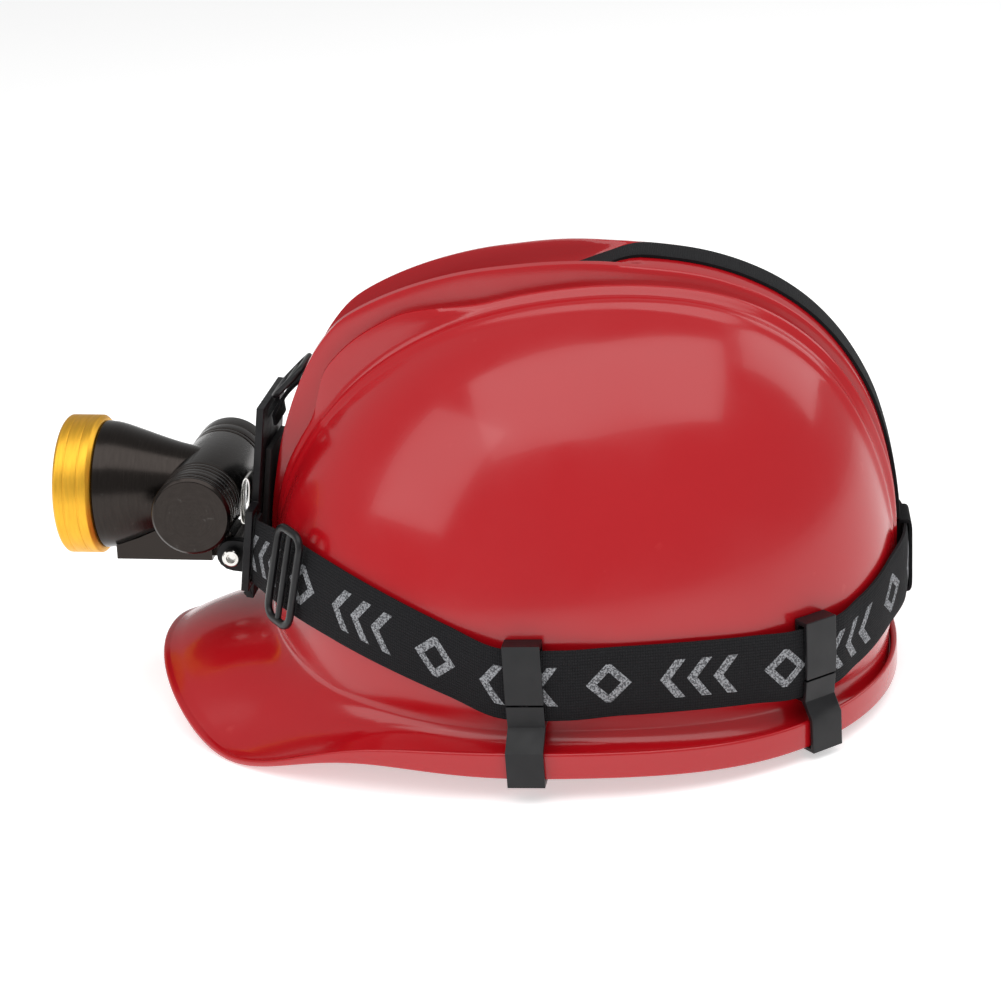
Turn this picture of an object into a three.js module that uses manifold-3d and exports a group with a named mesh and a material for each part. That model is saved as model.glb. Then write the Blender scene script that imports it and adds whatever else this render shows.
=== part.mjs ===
// Miner's cap lamp strapped to a safety helmet.
// Millimetres, +Z up. The peak and the lamp point along -X, the wearer's left side is -Y.
// Shapes are laid out from the middle of the helmet at its rim plane. The whole group is then
// moved so that its origin is the middle of the bottom of its box.
import * as THREE from 'three';
import { mergeVertices } from 'three/addons/utils/BufferGeometryUtils.js';
import Module from 'manifold-3d';

const wasm = await Module();
wasm.setup();

const { PI, abs, sin, cos, sqrt, min, max, exp, sign, asin, atan2, hypot } = Math;
const DEG = PI / 180;

// ---------------------------------------------------------------- driving dimensions
const ORIGIN_SHIFT = { x: 34.5, z: 7.6 };

const GAP = 0.35;              // clearance kept between pieces that touch

const DOME = {
  front: 122, rear: 126, halfWidth: 103, height: 156,
  wall: 3, plan: 2.2, rise: 2.3, poleBack: 20,
};
const RIM = { front: 167, rear: 123.5, halfWidth: 113.5, lip: 2.6 };
// Height of the crests over the dome at each angle seen from the side, in degrees.
const CREST = [[-2, 0], [8, 2], [20, 5.5], [32, 11.5], [44, 18.4], [50, 20.4], [56, 18.6], [68, 14.6], [80, 11],
  [92, 9], [104, 6.4], [122, 4.6], [150, 4], [166, 2.2], [178, 0]];

const STRAP = { width: 26, thick: 1.6, standoff: 1.2 };
const TOP_STRAP = { width: 20, thick: 1.6, standoff: 1.1, end: 172.6 };
const HOOK = { width: 13.5, thick: 1.7, angles: [85.5, 134] };
const BRACKET = { x: -126.8, z: 50, lean: 9.4 * DEG, thick: 3, halfWidth: 21 };

const LAMP = { x: -143, z: 75.7, pitch: 3 * DEG };
const TUBE = { radius: 15.5, near: -37, far: 41, bore: 13.45 };
const CELL = { radius: 13.1, length: 65.4, start: -31.4 };
const BEZEL = { radius: 27.5, front: -57, rear: -42.2, aperture: 21, bore: 24.75 };
const PIVOT = { x: 9.6, z: -25, knuckle: 6, bolt: 2, halfWidth: 7.5 };

const HEADBAND = { halfLength: 98, halfWidth: 83, low: 8, high: 36, thick: 1.6 };
const KNOB = { radius: 14, x0: 107.2, x1: 115.6, z: 22, ridges: 20 };
const BUCKLE = { thick: 2.2, bar: 2.4, edge: 3, corner: 5 };
const SIDE_BUCKLE = { length: 20, height: 39, opening: 28.6, proud: 2 };
const TOP_BUCKLE = { length: 18, height: 27.5, opening: 21.4, proud: 0.5 };
const SLOT_Y = 27;              // middle of the strap slots in the bracket wings

// ---------------------------------------------------------------- looks
const look = (color, roughness, metalness = 0) => ({ color, roughness, metalness });
const RED_PLASTIC = look(0xb81218, 0.28);
const WEBBING = look(0x0c0c0d, 0.9);
const BLACK_PLASTIC = look(0x121213, 0.5);
const BLACK_ANODISED = look(0x0d0d0e, 0.35, 0.6);
const GOLD_ANODISED = look(0xd9a02c, 0.3, 1);
const STEEL = look(0xc9cbcd, 0.22, 1);
const RUBBER = look(0x0e0e0e, 0.85);
const GLASS = look(0xe8f0f4, 0.05);
const WHITE_PLASTIC = look(0xd8d8d2, 0.5);
const GREY_PLASTIC = look(0x6c6e70, 0.5);
const BOARD_GREEN = look(0x1e4a2c, 0.6);
const EMITTER_YELLOW = look(0xe6c94a, 0.4);
const CELL_SLEEVE = look(0x23508c, 0.4);
const FOAM = look(0x2b2b2d, 0.95);

// ---------------------------------------------------------------- small maths
const smooth = (a, b, x) => {
  const t = min(max((x - a) / (b - a), 0), 1);
  return t * t * (3 - 2 * t);
};
const clamp01 = (x) => min(max(x, 0), 1);
const bell = (x, centre, width) => exp(-(((x - centre) / width) ** 2));
const power = (v, p) => sign(v) * abs(v) ** p;
const vec = (x, y, z) => new THREE.Vector3(x, y, z);
const mix = (a, b, t) => a.clone().lerp(b, t);

// ---------------------------------------------------------------- solids
// Merge vertices, drop faces with no area and turn the faces outward.
function closed(geometry) {
  let g = geometry.clone();
  g.deleteAttribute('normal');
  g.deleteAttribute('uv');
  g = mergeVertices(g, 1e-4);
  const p = g.attributes.position;
  const kept = [];
  let volume = 0;
  for (let i = 0; i < g.index.count; i += 3) {
    const [a, b, c] = [0, 1, 2].map((k) => g.index.getX(i + k));
    if (a === b || b === c || c === a) continue;
    const [A, B, C] = [a, b, c].map((k) => vec(p.getX(k), p.getY(k), p.getZ(k)));
    volume += A.dot(B.cross(C));
    kept.push(a, b, c);
  }
  if (volume < 0) {
    for (let i = 0; i < kept.length; i += 3) {
      [kept[i + 1], kept[i + 2]] = [kept[i + 2], kept[i + 1]];
    }
  }
  g.setIndex(kept);
  g.computeVertexNormals();
  return g;
}

function toManifold(geometry) {
  const g = closed(geometry);
  return new wasm.Manifold(new wasm.Mesh({
    numProp: 3,
    vertProperties: new Float32Array(g.attributes.position.array),
    triVerts: new Uint32Array(g.index.array),
  }));
}

function fromManifold(solid) {
  const m = solid.getMesh();
  const g = new THREE.BufferGeometry();
  g.setAttribute('position', new THREE.BufferAttribute(new Float32Array(m.vertProperties), 3));
  g.setIndex(Array.from(m.triVerts));
  return closed(g);
}

const join = (...parts) => fromManifold(parts.map(toManifold).reduce((a, b) => a.add(b)));
const cut = (body, ...tools) => fromManifold(
  tools.map(toManifold).reduce((a, b) => a.subtract(b), toManifold(body)));

const moved = (geometry, x, y, z) => geometry.clone().translate(x, y, z);
const box = (x0, x1, y0, y1, z0, z1) => new THREE.BoxGeometry(x1 - x0, y1 - y0, z1 - z0)
  .translate((x0 + x1) / 2, (y0 + y1) / 2, (z0 + z1) / 2);

// Rounds turned about X or Y from [position along the axis, radius] pairs.
function turned(axis, profile, segments = 32) {
  const g = new THREE.LatheGeometry(profile.map(([a, r]) => new THREE.Vector2(r, a)), segments);
  if (axis === 'x') g.rotateZ(-PI / 2);
  return closed(g);
}
const rod = (axis, a0, a1, r, segments = 24) => turned(axis, [[a0, 0], [a0, r], [a1, r], [a1, 0]], segments);
const ring = (axis, a0, a1, inner, outer, segments = 32) => turned(
  axis, [[a0, inner], [a0, outer], [a1, outer], [a1, inner], [a0, inner]], segments);

// A flat outline of [x, z] points, extruded along Y from y0 to y1.
function slab(outline, y0, y1) {
  const shape = new THREE.Shape(outline.map(([x, z]) => new THREE.Vector2(x, z)));
  const g = new THREE.ExtrudeGeometry(shape, { depth: y1 - y0, bevelEnabled: false, steps: 1 });
  return closed(g.rotateX(PI / 2).translate(0, y1, 0));
}

// Four-cornered sections joined in a row; the row is a loop or has two flat ends.
function ribbon(sections, loop = false) {
  const points = sections.flat();
  const g = new THREE.BufferGeometry();
  g.setAttribute('position', new THREE.Float32BufferAttribute(points.flatMap((p) => p.toArray()), 3));
  const n = sections.length;
  const faces = [];
  for (let i = 0; i < (loop ? n : n - 1); i++) {
    for (let k = 0; k < 4; k++) {
      const a = 4 * i + k;
      const b = 4 * i + ((k + 1) % 4);
      const c = 4 * ((i + 1) % n) + ((k + 1) % 4);
      const d = 4 * ((i + 1) % n) + k;
      faces.push(a, b, c, a, c, d);
    }
  }
  if (!loop) {
    const e = 4 * (n - 1);
    faces.push(0, 2, 1, 0, 3, 2, e, e + 1, e + 2, e, e + 2, e + 3);
  }
  g.setIndex(faces);
  return closed(g);
}

// ---------------------------------------------------------------- helmet surface
// theta is the angle round the helmet from the rear; fromFront is the angle from the front.
const fromFront = (theta) => abs(atan2(sin(theta), -cos(theta)));
const frontness = (theta) => max(-cos(theta), 0) ** 1.5;
const riseOf = (theta) => DOME.rise + 0.2 * frontness(theta) + 0.1 * max(cos(theta), 0);

// A point of the plain dome at angle theta and latitude phi.
function dome(theta, phi) {
  const [c, s] = [cos(theta), sin(theta)];
  const rise = riseOf(theta);
  const reach = cos(phi) ** (2 / rise);
  const z = DOME.height * sin(phi) ** (2 / rise);
  const taper = 1 - 0.06 * clamp01(1 - z / 60) ** 2;
  const length = c > 0 ? DOME.rear : DOME.front;
  const back = DOME.poleBack * (z / DOME.height) ** (2.2 + 0.8 * frontness(theta));
  return vec(length * power(c, 2 / DOME.plan) * reach * taper + back,
    DOME.halfWidth * power(s, 2 / DOME.plan) * reach * taper, z);
}
const latitude = (theta, z) => asin((z / DOME.height) ** (riseOf(theta) / 2));

function domeNormal(theta, phi) {
  const e = 1e-3;
  const across = dome(theta + e, phi).sub(dome(theta - e, phi));
  const up = dome(theta, phi + e).sub(dome(theta, phi - e));
  return across.cross(up).normalize();
}

// Height where the dome meets the peak or the gutter.
const foldHeight = (theta) => 12 + 20 * bell(fromFront(theta), 0, 0.8) - 2 * smooth(0, 0.7, cos(theta));

// The outer edge of the peak and rim, at its lower side.
function rimEdge(theta) {
  const [c, s] = [cos(theta), sin(theta)];
  const a = fromFront(theta);
  const z = 3.5 * bell(a, 1.15, 0.22) - 9 * bell(a, 0.7, 0.26) + 14 * bell(a, 0, 0.42) - 3.5 * smooth(0, 0.7, c);
  return vec((c > 0 ? RIM.rear : RIM.front) * power(c, 2 / 2.15), RIM.halfWidth * power(s, 2 / 2.15), z);
}
const lipHeight = (theta) => 2.5 + 7.5 * smooth(0.85, 1.5, fromFront(theta));
const floorHeight = (theta) => 2.5 + 4 * smooth(0.85, 1.5, fromFront(theta));

// Angle of a point seen from the side: 0 at the front, 90 at the crown, 180 at the rear.
const overAngle = (p) => atan2(p.z - 40, -(p.x - 5)) / DEG;
function crestHeight(over) {
  const next = CREST.findIndex(([angle]) => angle > over);
  if (next < 1) return 0;
  const [[a, low], [b, high]] = [CREST[next - 1], CREST[next]];
  return low + ((high - low) * (over - a)) / (b - a);
}
// The valley between the two crests holds the top strap. It is deep at the front and closes past the crown.
const valleyDepth = (over) => 1 - smooth(90, 104, over);
function crest(offset, over) {
  const valley = 1 - valleyDepth(over) * (1 - smooth(14, 15.8, offset));
  const shelf = 0.5 * smooth(32, 44, over) * smooth(76, 58, over);
  const flank = 1 - (1 - shelf) * smooth(18.6, 21, offset) - shelf * smooth(25, 30, offset);
  const rolls = smooth(5, 25, over) * smooth(182, 160, over);
  const lower = 3.2 * bell(offset, 25.5, 2.7) + 1.4 * bell(offset, 32.5, 3);
  return crestHeight(over) * valley * flank + rolls * lower;
}

// ---------------------------------------------------------------- helmet shell
// Distance across the helmet, at its crown, of the grid line v, and the grid line at a distance.
const LINE = { stretch: 1.52, power: 0.87 };
const offsetOf = (v) => DOME.halfWidth * sin(LINE.stretch * abs(v)) ** LINE.power;
const lineAt = (offset) => asin((offset / DOME.halfWidth) ** (1 / LINE.power)) / LINE.stretch;
const LINES = [...[13.9, 15.9, 18.5, 21.1, 25.2, 30, 33, 37].map(lineAt), 0.26, 0.34, 0.44, 0.56, 0.7, 0.85, 1];
const ACROSS = [...LINES.map((v) => -v).reverse(), 0, ...LINES];
const ALONG = [-1, -0.85, -0.72, -0.63, -0.56, -0.51, -0.44, -0.34, -0.2, -0.08, 0.03, 0.12, 0.25, 0.4, 0.56, 0.72,
  0.87, 1];

function helmetShell() {
  const points = [];
  const faces = [];
  const addPoint = (p) => points.push(p) - 1;
  // One sheet of the dome on a square grid bent into a disc, with grid lines along the crests.
  const sheet = (inward) => ALONG.map((u) => ACROSS.map((v) => {
    const p = u * sqrt(1 - v * v / 2);
    const q = v * sqrt(1 - u * u / 2);
    const theta = atan2(q, p);
    const foot = latitude(theta, foldHeight(theta) + (inward ? 1.5 : 0));
    const phi = PI / 2 - (PI / 2 - foot) * min(max(hypot(p, q), 1e-4), 1);
    const base = dome(theta, phi);
    const height = crest(offsetOf(v), overAngle(base));
    const out = inward ? 0.6 * height - DOME.wall : height;
    return addPoint(base.addScaledVector(domeNormal(theta, min(phi, PI / 2 - 2e-3)), out));
  }));
  const outer = sheet(false);
  const inner = sheet(true);
  for (let i = 0; i < ALONG.length - 1; i++) {
    for (let j = 0; j < ACROSS.length - 1; j++) {
      const quad = (g) => [g[i][j], g[i + 1][j], g[i + 1][j + 1], g[i][j + 1]];
      const [a, b, c, d] = quad(outer);
      const [e, f, g, h] = quad(inner);
      faces.push(a, b, c, a, c, d, e, g, f, e, h, g);
    }
  }
  // The border of the square, in order, as [grid row, grid column].
  const [rows, columns] = [ALONG.length - 1, ACROSS.length - 1];
  const border = [];
  for (let j = 0; j < columns; j++) border.push([0, j]);
  for (let i = 0; i < rows; i++) border.push([i, columns]);
  for (let j = columns; j > 0; j--) border.push([rows, j]);
  for (let i = rows; i > 0; i--) border.push([i, 0]);
  // The peak or gutter section under each border point, from the outer sheet to the inner one.
  const skirts = border.map(([i, j]) => {
    const [u, v] = [ALONG[i], ACROSS[j]];
    const theta = atan2(v * sqrt(1 - u * u / 2), u * sqrt(1 - v * v / 2));
    const start = points[outer[i][j]];
    const edge = rimEdge(theta);
    const out = vec(edge.x - start.x, edge.y - start.y, 0);
    const reach = out.length();
    out.normalize();
    const at = (inset, up) => edge.clone().addScaledVector(out, -inset).add(vec(0, 0, up));
    const [lip, floor] = [lipHeight(theta), floorHeight(theta)];
    const foot = at(RIM.lip, floor);
    const drop = vec(0, 0, -max(5, 0.42 * (start.z - foot.z))).addScaledVector(out, 0.12 * reach);
    const lift = vec(0, 0, 12 * bell(fromFront(theta), 0, 0.9)).addScaledVector(out, -0.45 * reach);
    const curve = new THREE.CubicBezierCurve3(start, start.clone().add(drop), foot.clone().add(lift), foot);
    const upper = [0.25, 0.5, 0.75, 1].map((t) => curve.getPoint(t));
    const under = [1, 0.72, 0.4].map((t) => {
      const p = curve.getPoint(t);
      const slope = curve.getTangent(t);
      const flat = slope.x * out.x + slope.y * out.y;
      const normal = out.clone().multiplyScalar(slope.z).add(vec(0, 0, -flat)).normalize();
      return p.addScaledVector(normal, min(DOME.wall, 2.5));
    });
    under[0] = at(RIM.lip + 0.8, max(floor - 2.5, 0.4));
    const rim = [at(RIM.lip - 0.6, lip), at(0.5, lip), at(-0.3, lip - 1.2), at(-0.3, 1), at(0.5, 0), at(RIM.lip, 0)];
    return [outer[i][j], ...[...upper, ...rim, ...under].map(addPoint), inner[i][j]];
  });
  skirts.forEach((here, k) => {
    const next = skirts[(k + 1) % skirts.length];
    for (let r = 0; r < here.length - 1; r++) {
      faces.push(here[r], next[r], next[r + 1], here[r], next[r + 1], here[r + 1]);
    }
  });
  const g = new THREE.BufferGeometry();
  g.setAttribute('position', new THREE.Float32BufferAttribute(points.flatMap((p) => p.toArray()), 3));
  g.setIndex(faces);
  return closed(g);
}

// ---------------------------------------------------------------- places on the helmet wall
// side is -1 for the wearer's left and +1 for the right; angle is in degrees from the front.
const thetaAt = (angle, side) => PI - side * angle * DEG;
function wallPoint(angle, side, z, standoff) {
  const theta = thetaAt(angle, side);
  const phi = latitude(theta, z);
  return dome(theta, phi).addScaledVector(domeNormal(theta, phi), standoff);
}
// Middle height of the headband strap: high at the lamp, pulled down by the hooks.
function strapHeight(angle) {
  const ahead = HOOK.angles[0] - 4 - angle;
  const soft = 0.5 * (ahead + sqrt(ahead * ahead + 6));
  return 32 + 0.95 * soft - 0.0085 * soft * soft - 3.5 * bell(angle, 132, 18) + 8 * smooth(142, 175, angle);
}
// The strap stands off the helmet over each hook's back plate, and inside the rear loop.
const overHook = (angle) => HOOK.angles.reduce((sum, a) => sum + smooth(13, 5, abs(angle - a)), 0);
const strapStandoff = (angle) => STRAP.standoff + 2.2 * overHook(angle) + 1.9 * smooth(160, 172, angle)
  + 1.6 * smooth(48, 26, angle);
const STRAP_STATIONS = [29.5, 36, 43, 50, 57, 64, 71, 77, 81, 85.5, 90, 94.5, 101, 108, 114, 119.5, 124.5, 129.2,
  134, 138.8, 144, 152, 161, 167.5, 174];

function strapSection(angle, side) {
  const z = strapHeight(angle);
  const standoff = strapStandoff(angle);
  const half = STRAP.width / 2;
  return [[z - half, 0], [z + half, 0], [z + half, STRAP.thick], [z - half, STRAP.thick]]
    .map(([height, extra]) => wallPoint(angle, side, height, standoff + extra));
}

const bracketPoint = (x, y, z) => vec(
  BRACKET.x + x * cos(BRACKET.lean) + z * sin(BRACKET.lean), y,
  BRACKET.z - x * sin(BRACKET.lean) + z * cos(BRACKET.lean));

// The strap's end lies flat behind the wing of the bracket.
const STRAP_END = { depth: 5.2, low: -3.5 };
function strapEnd(side, y) {
  const half = STRAP.width / 2;
  const middle = STRAP_END.low + half;
  return [[middle - half, STRAP_END.depth], [middle + half, STRAP_END.depth],
    [middle + half, STRAP_END.depth - STRAP.thick], [middle - half, STRAP_END.depth - STRAP.thick]]
    .map(([z, x]) => bracketPoint(x, side * y, z));
}

function headbandStrap() {
  const half = (side) => {
    const sections = [strapEnd(side, SLOT_Y - 5), strapEnd(side, SLOT_Y + 4)];
    return [...sections, ...STRAP_STATIONS.map((angle) => strapSection(angle, side))];
  };
  return ribbon([...half(-1), strapSection(180, -1), ...half(1).reverse()]);
}

// ---------------------------------------------------------------- top strap
function crownPoint(over, standoff) {
  // Follow the bottom of the valley from the side view, by looking for the matching latitude.
  let [low, high] = [0.02, PI - 0.02];
  const at = (t) => (t < PI / 2 ? dome(PI, t) : dome(0, PI - t));
  for (let k = 0; k < 40; k++) {
    const middle = (low + high) / 2;
    if (overAngle(at(middle)) < over) low = middle; else high = middle;
  }
  const p = at(low);
  const ahead = at(low + 1e-3).sub(at(low - 1e-3));
  const normal = vec(-ahead.z, 0, ahead.x).normalize();
  const lift = crestHeight(over) * (1 - valleyDepth(over)) + standoff;
  return { point: p.addScaledVector(normal, lift), normal };
}

// The strap comes out of the bracket's top slot, runs straight behind its buckle and into the valley.
const TOP_START = [bracketPoint(4.8, 0, 54), bracketPoint(4.8, 0, 61), vec(-97, 0, 123)];
function topStrap() {
  const half = TOP_STRAP.width / 2;
  const section = ({ point, normal }) => [[-half, 0], [half, 0], [half, TOP_STRAP.thick], [-half, TOP_STRAP.thick]]
    .map(([y, up]) => point.clone().addScaledVector(normal, up).add(vec(0, y, 0)));
  const rows = TOP_START.map((point, k) => {
    const run = TOP_START[min(k + 1, 2)].clone().sub(TOP_START[max(k - 1, 0)]);
    return { point, normal: vec(-run.z, 0, run.x).normalize() };
  });
  for (let over = 60; over <= 168; over += 6) rows.push(crownPoint(over, TOP_STRAP.standoff));
  rows.push(crownPoint(TOP_STRAP.end, TOP_STRAP.standoff));
  return ribbon(rows.map(section));
}

// ---------------------------------------------------------------- hooks, buckles, loop
// Frame on the wall: x out, y along the wall, z up.
function wallGroup(angle, side) {
  const theta = thetaAt(angle, side);
  const foot = wallPoint(angle, side, strapHeight(angle), 0);
  const normal = domeNormal(theta, latitude(theta, strapHeight(angle)));
  const g = new THREE.Group();
  g.position.set(foot.x, foot.y, 0);
  g.rotation.z = atan2(normal.y, normal.x);
  return g;
}

// How far the helmet wall at height z lies outside the wall at height foot.z, seen along the normal.
function wallLean(angle, foot, normal) {
  return (z) => wallPoint(angle, 1, z, 0).sub(foot).dot(normal);
}

function hookGeometry(angle) {
  const t = HOOK.thick;
  const middle = strapHeight(angle);
  const theta = thetaAt(angle, 1);
  const foot = wallPoint(angle, 1, middle, 0);
  const normal = domeNormal(theta, latitude(theta, middle)).setZ(0).normalize();
  const edge = rimEdge(theta);
  const rim = edge.clone().sub(foot).dot(normal) + 0.9;
  const lean = wallLean(angle, foot, normal);
  const base = edge.z - GAP;
  const top = middle + STRAP.width / 2 + 1.4;
  const low = middle - STRAP.width / 2 - 0.9;
  const back = 0.5;
  const front = strapStandoff(angle) + STRAP.thick + 0.6;
  const slit = low + 7.5;
  const toe = rim - RIM.lip - 3;
  const clasp = [
    [back, low - t], [back, middle], [back, top + t], [front + t, top + t], [front + t, middle],
    [front + t, slit + 0.4], [front, slit + 0.4], [front, middle], [front, top], [back + t, top],
    [back + t, middle], [back + t, low], [front, low], [front, slit - 0.4], [front + t, slit - 0.4],
    [front + t, low - 1],
  ].map(([x, z]) => [x + lean(z), z]);
  const shank = [
    [rim + t, base + 11.5], [rim + t, base - t], [toe - t, base - t], [toe - t, base + 2.2],
    [toe, base + 2.2], [toe, base], [rim, base], [rim, base + 10.6],
    [front - 0.4 + lean(low - t), low - t],
  ];
  return slab([...clasp, ...shank], -HOOK.width / 2, HOOK.width / 2);
}

// Flat frame with a middle bar: length along X, height along Y, thickness along Z.
function slideBuckle({ length, height, opening }) {
  const { thick, bar, edge, corner } = BUCKLE;
  const [a, b] = [length / 2, height / 2];
  const outline = new THREE.Shape();
  outline.moveTo(-a + corner, -b);
  outline.lineTo(a - corner, -b);
  outline.absarc(a - corner, -b + corner, corner, -PI / 2, 0);
  outline.lineTo(a, b - corner);
  outline.absarc(a - corner, b - corner, corner, 0, PI / 2);
  outline.lineTo(-a + corner, b);
  outline.absarc(-a + corner, b - corner, corner, PI / 2, PI);
  outline.lineTo(-a, -b + corner);
  outline.absarc(-a + corner, -b + corner, corner, PI, 1.5 * PI);
  const plate = new THREE.ExtrudeGeometry(outline, { depth: thick, bevelEnabled: false, curveSegments: 4 });
  const windows = [[-a + edge, -bar / 2], [bar / 2, a - edge]]
    .map(([x0, x1]) => box(x0, x1, -opening / 2, opening / 2, -1, thick + 1));
  return cut(plate, ...windows);
}

// A group above p whose X runs along the strap, Y across it and Z out of it.
function strapGroup(p, along, across, proud) {
  const out = along.clone().cross(across).normalize();
  const g = new THREE.Group();
  g.setRotationFromMatrix(new THREE.Matrix4().makeBasis(along, across, out));
  g.position.copy(p).addScaledVector(out, proud);
  return g;
}

// The side buckle lies over the flat run of strap between its first two stations.
function sideBuckleGroup(side) {
  const [near, far] = [0, 1].map((k) => strapSection(STRAP_STATIONS[k], side));
  const [a, b] = [near, far].map((section) => mix(section[2], section[3], 0.5));
  const up = near[2].clone().sub(near[3]).add(far[2].clone().sub(far[3])).normalize();
  const along = (side < 0 ? b.clone().sub(a) : a.clone().sub(b)).normalize();
  const across = up.addScaledVector(along, -up.dot(along)).normalize();
  return strapGroup(mix(a, b, 0.5), along, across, SIDE_BUCKLE.proud);
}

// The top buckle lies over the free run of the top strap, just above the bracket.
function topBuckleGroup() {
  const [a, b] = [TOP_START[1], TOP_START[2]];
  const along = b.clone().sub(a).normalize();
  return strapGroup(mix(a, b, 0.56), along, vec(0, 1, 0), TOP_STRAP.thick + TOP_BUCKLE.proud);
}

// A stitched loop of webbing that holds the headband strap at the rear.
function rearLoop() {
  const middle = strapHeight(180);
  const [inside, outside, t] = [0.5, 6.6, 1.3];
  const frame = (x0, x1, half) => [[x0, -half], [x0, 0], [x0, half], [x1, half], [x1, 0], [x1, -half]]
    .map(([x, z]) => [x + wallPoint(180, 1, middle + z, 0).x, middle + z]);
  return cut(slab(frame(inside, outside, 14.8), -9, 9), slab(frame(inside + t, outside - t, 13.5), -10, 10));
}

// ---------------------------------------------------------------- bracket
function bracketPlate() {
  const top = 64;
  const t = BRACKET.thick;
  const outline = [[t, -14.5], [t, top], [0, top], [0, -4]];
  for (let k = 0; k < 5; k++) outline.push([-1.4, -4.8 - 2 * k], [0, -6 - 2 * k]);
  outline.push([0, -14.5]);
  const w = BRACKET.halfWidth;
  const spine = slab(outline, -w, w);
  const wings = box(0, t, -32.5, 32.5, -7, 26);
  const slots = [-1, 1].map((s) => box(-1, t + 1, s * SLOT_Y - 3, s * SLOT_Y + 3, -4.2, 23.2));
  const topSlot = box(-1, t + 1, -11, 11, 57.5, 61);
  const pivot = pivotInBracket;
  const lug = (y0, y1) => {
    const shape = [[0.5, pivot.z - 6.5], [0.5, pivot.z + 6.5]];
    for (let k = 0; k <= 8; k++) {
      const a = PI / 2 + (PI * k) / 8;
      shape.push([pivot.x + 6.5 * cos(a), pivot.z + 6.5 * sin(a)]);
    }
    return slab(shape, y0, y1);
  };
  const hole = moved(rod('y', -14, 14, PIVOT.bolt + GAP, 20), pivot.x, 0, pivot.z);
  const body = join(spine, wings, lug(-12.4, -7.9), lug(7.9, 12.4));
  return cut(body, ...slots, topSlot, hole);
}

const bracketPad = () => box(BRACKET.thick + GAP, BRACKET.thick + 2.6, -14.5, 14.5, -12, 46);

// A leaf of spring steel bent into a flat loop, seen from the side, 9 mm wide.
function detentSpring() {
  const centre = { x: -2.1, z: 26.5 };
  const [halfHeight, halfDepth, t] = [9.5, 1.75, 0.6];
  const loop = (dx, dz) => {
    const shape = [];
    for (let k = 0; k < 24; k++) {
      const a = (2 * PI * k) / 24;
      shape.push([centre.x + dx * power(cos(a), 0.8), centre.z + dz * power(sin(a), 0.6)]);
    }
    return shape;
  };
  return cut(slab(loop(halfDepth, halfHeight), -23, -14),
    slab(loop(halfDepth - t, halfHeight - t), -24, -13));
}

// ---------------------------------------------------------------- lamp
// Lamp frame: origin at the middle of the battery tube, -X forward along the beam.
const HORN = [[-4, 15.2], [-12, 16.9], [-20, 19.3], [-28, 22], [-36, 24.5], [-41.5, 25.3]];

function hornProfile(extra = 0) {
  return [[4, 0], [4, 13 + extra], ...HORN.map(([x, r]) => [x, r + extra])];
}

function lampHousing() {
  const groove = (y) => ring('y', y - 0.6, y + 0.6, TUBE.radius - 0.9, TUBE.radius + 2, 28);
  const horn = turned('x', [...hornProfile(), [-41.5, 24.3], [-50, 24.3], [-50, 0]], 30);
  const tube = rod('y', TUBE.near + 9.3, TUBE.far - 10.3, TUBE.radius, 28);
  const optics = turned('x', [[-52, 0], [-52, 22.3], [-38.6, 22.3], [-30, 18.6], [-25, 17], [-16.2, 17],
    [-16.2, 0]], 30);
  const bore = rod('y', TUBE.near, TUBE.far, TUBE.bore, 32);
  const grooves = [-24.5, -21.5, -18.5, 22, 25].map(groove);
  const grooved = cut(tube, ...grooves);
  return cut(join(grooved, horn), optics, bore);
}

// A cup over one end of the tube, with a hole of the given radius in its floor, or none.
function tubeCup(mouth, end, hole) {
  const inward = sign(mouth - end);
  const floor = end + inward * 2.5;
  const chamfer = 1.2;
  const profile = [[mouth, TUBE.bore], [mouth, TUBE.radius], [end + inward * chamfer, TUBE.radius],
    [end, TUBE.radius - chamfer], [end, hole], [floor, hole], [floor, TUBE.bore], [mouth, TUBE.bore]];
  return turned('y', profile, 28);
}

function batteryCap() {
  const cup = tubeCup(TUBE.near + 9, TUBE.near, 0);
  const grooves = [1, 2].map((k) => ring('y', TUBE.near + 3 * k - 0.6, TUBE.near + 3 * k + 0.6,
    TUBE.radius - 0.9, TUBE.radius + 2, 28));
  return cut(cup, ...grooves);
}

function bezelRing() {
  const { front, rear, radius, aperture, bore } = BEZEL;
  return turned('x', [[rear, bore], [rear, radius - 1.6], [rear - 1.6, radius], [front + 1, radius],
    [front, radius - 1], [front, aperture + 1.2], [front + 1.6, aperture], [front + 3, aperture],
    [front + 3, bore], [rear, bore]], 32);
}

function lensGlass() {
  const dome = [];
  const [radius, crown, seat] = [19.4, 8, -46.5];
  for (let k = 0; k <= 8; k++) {
    const a = (PI / 2) * (k / 8);
    dome.push([seat - 1.6 - crown * cos(a), (radius - 0.8) * sin(a)]);
  }
  return turned('x', [...dome, [seat - 1.6, radius], [seat, radius], [seat, 0]], 28);
}

const lensCarrier = () => turned('x', [[-49, 19.75], [-49, 21.9], [-42, 21.9], [-42, 17.5], [-46.1, 17.5],
  [-46.1, 19.75], [-49, 19.75]], 28);

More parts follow.
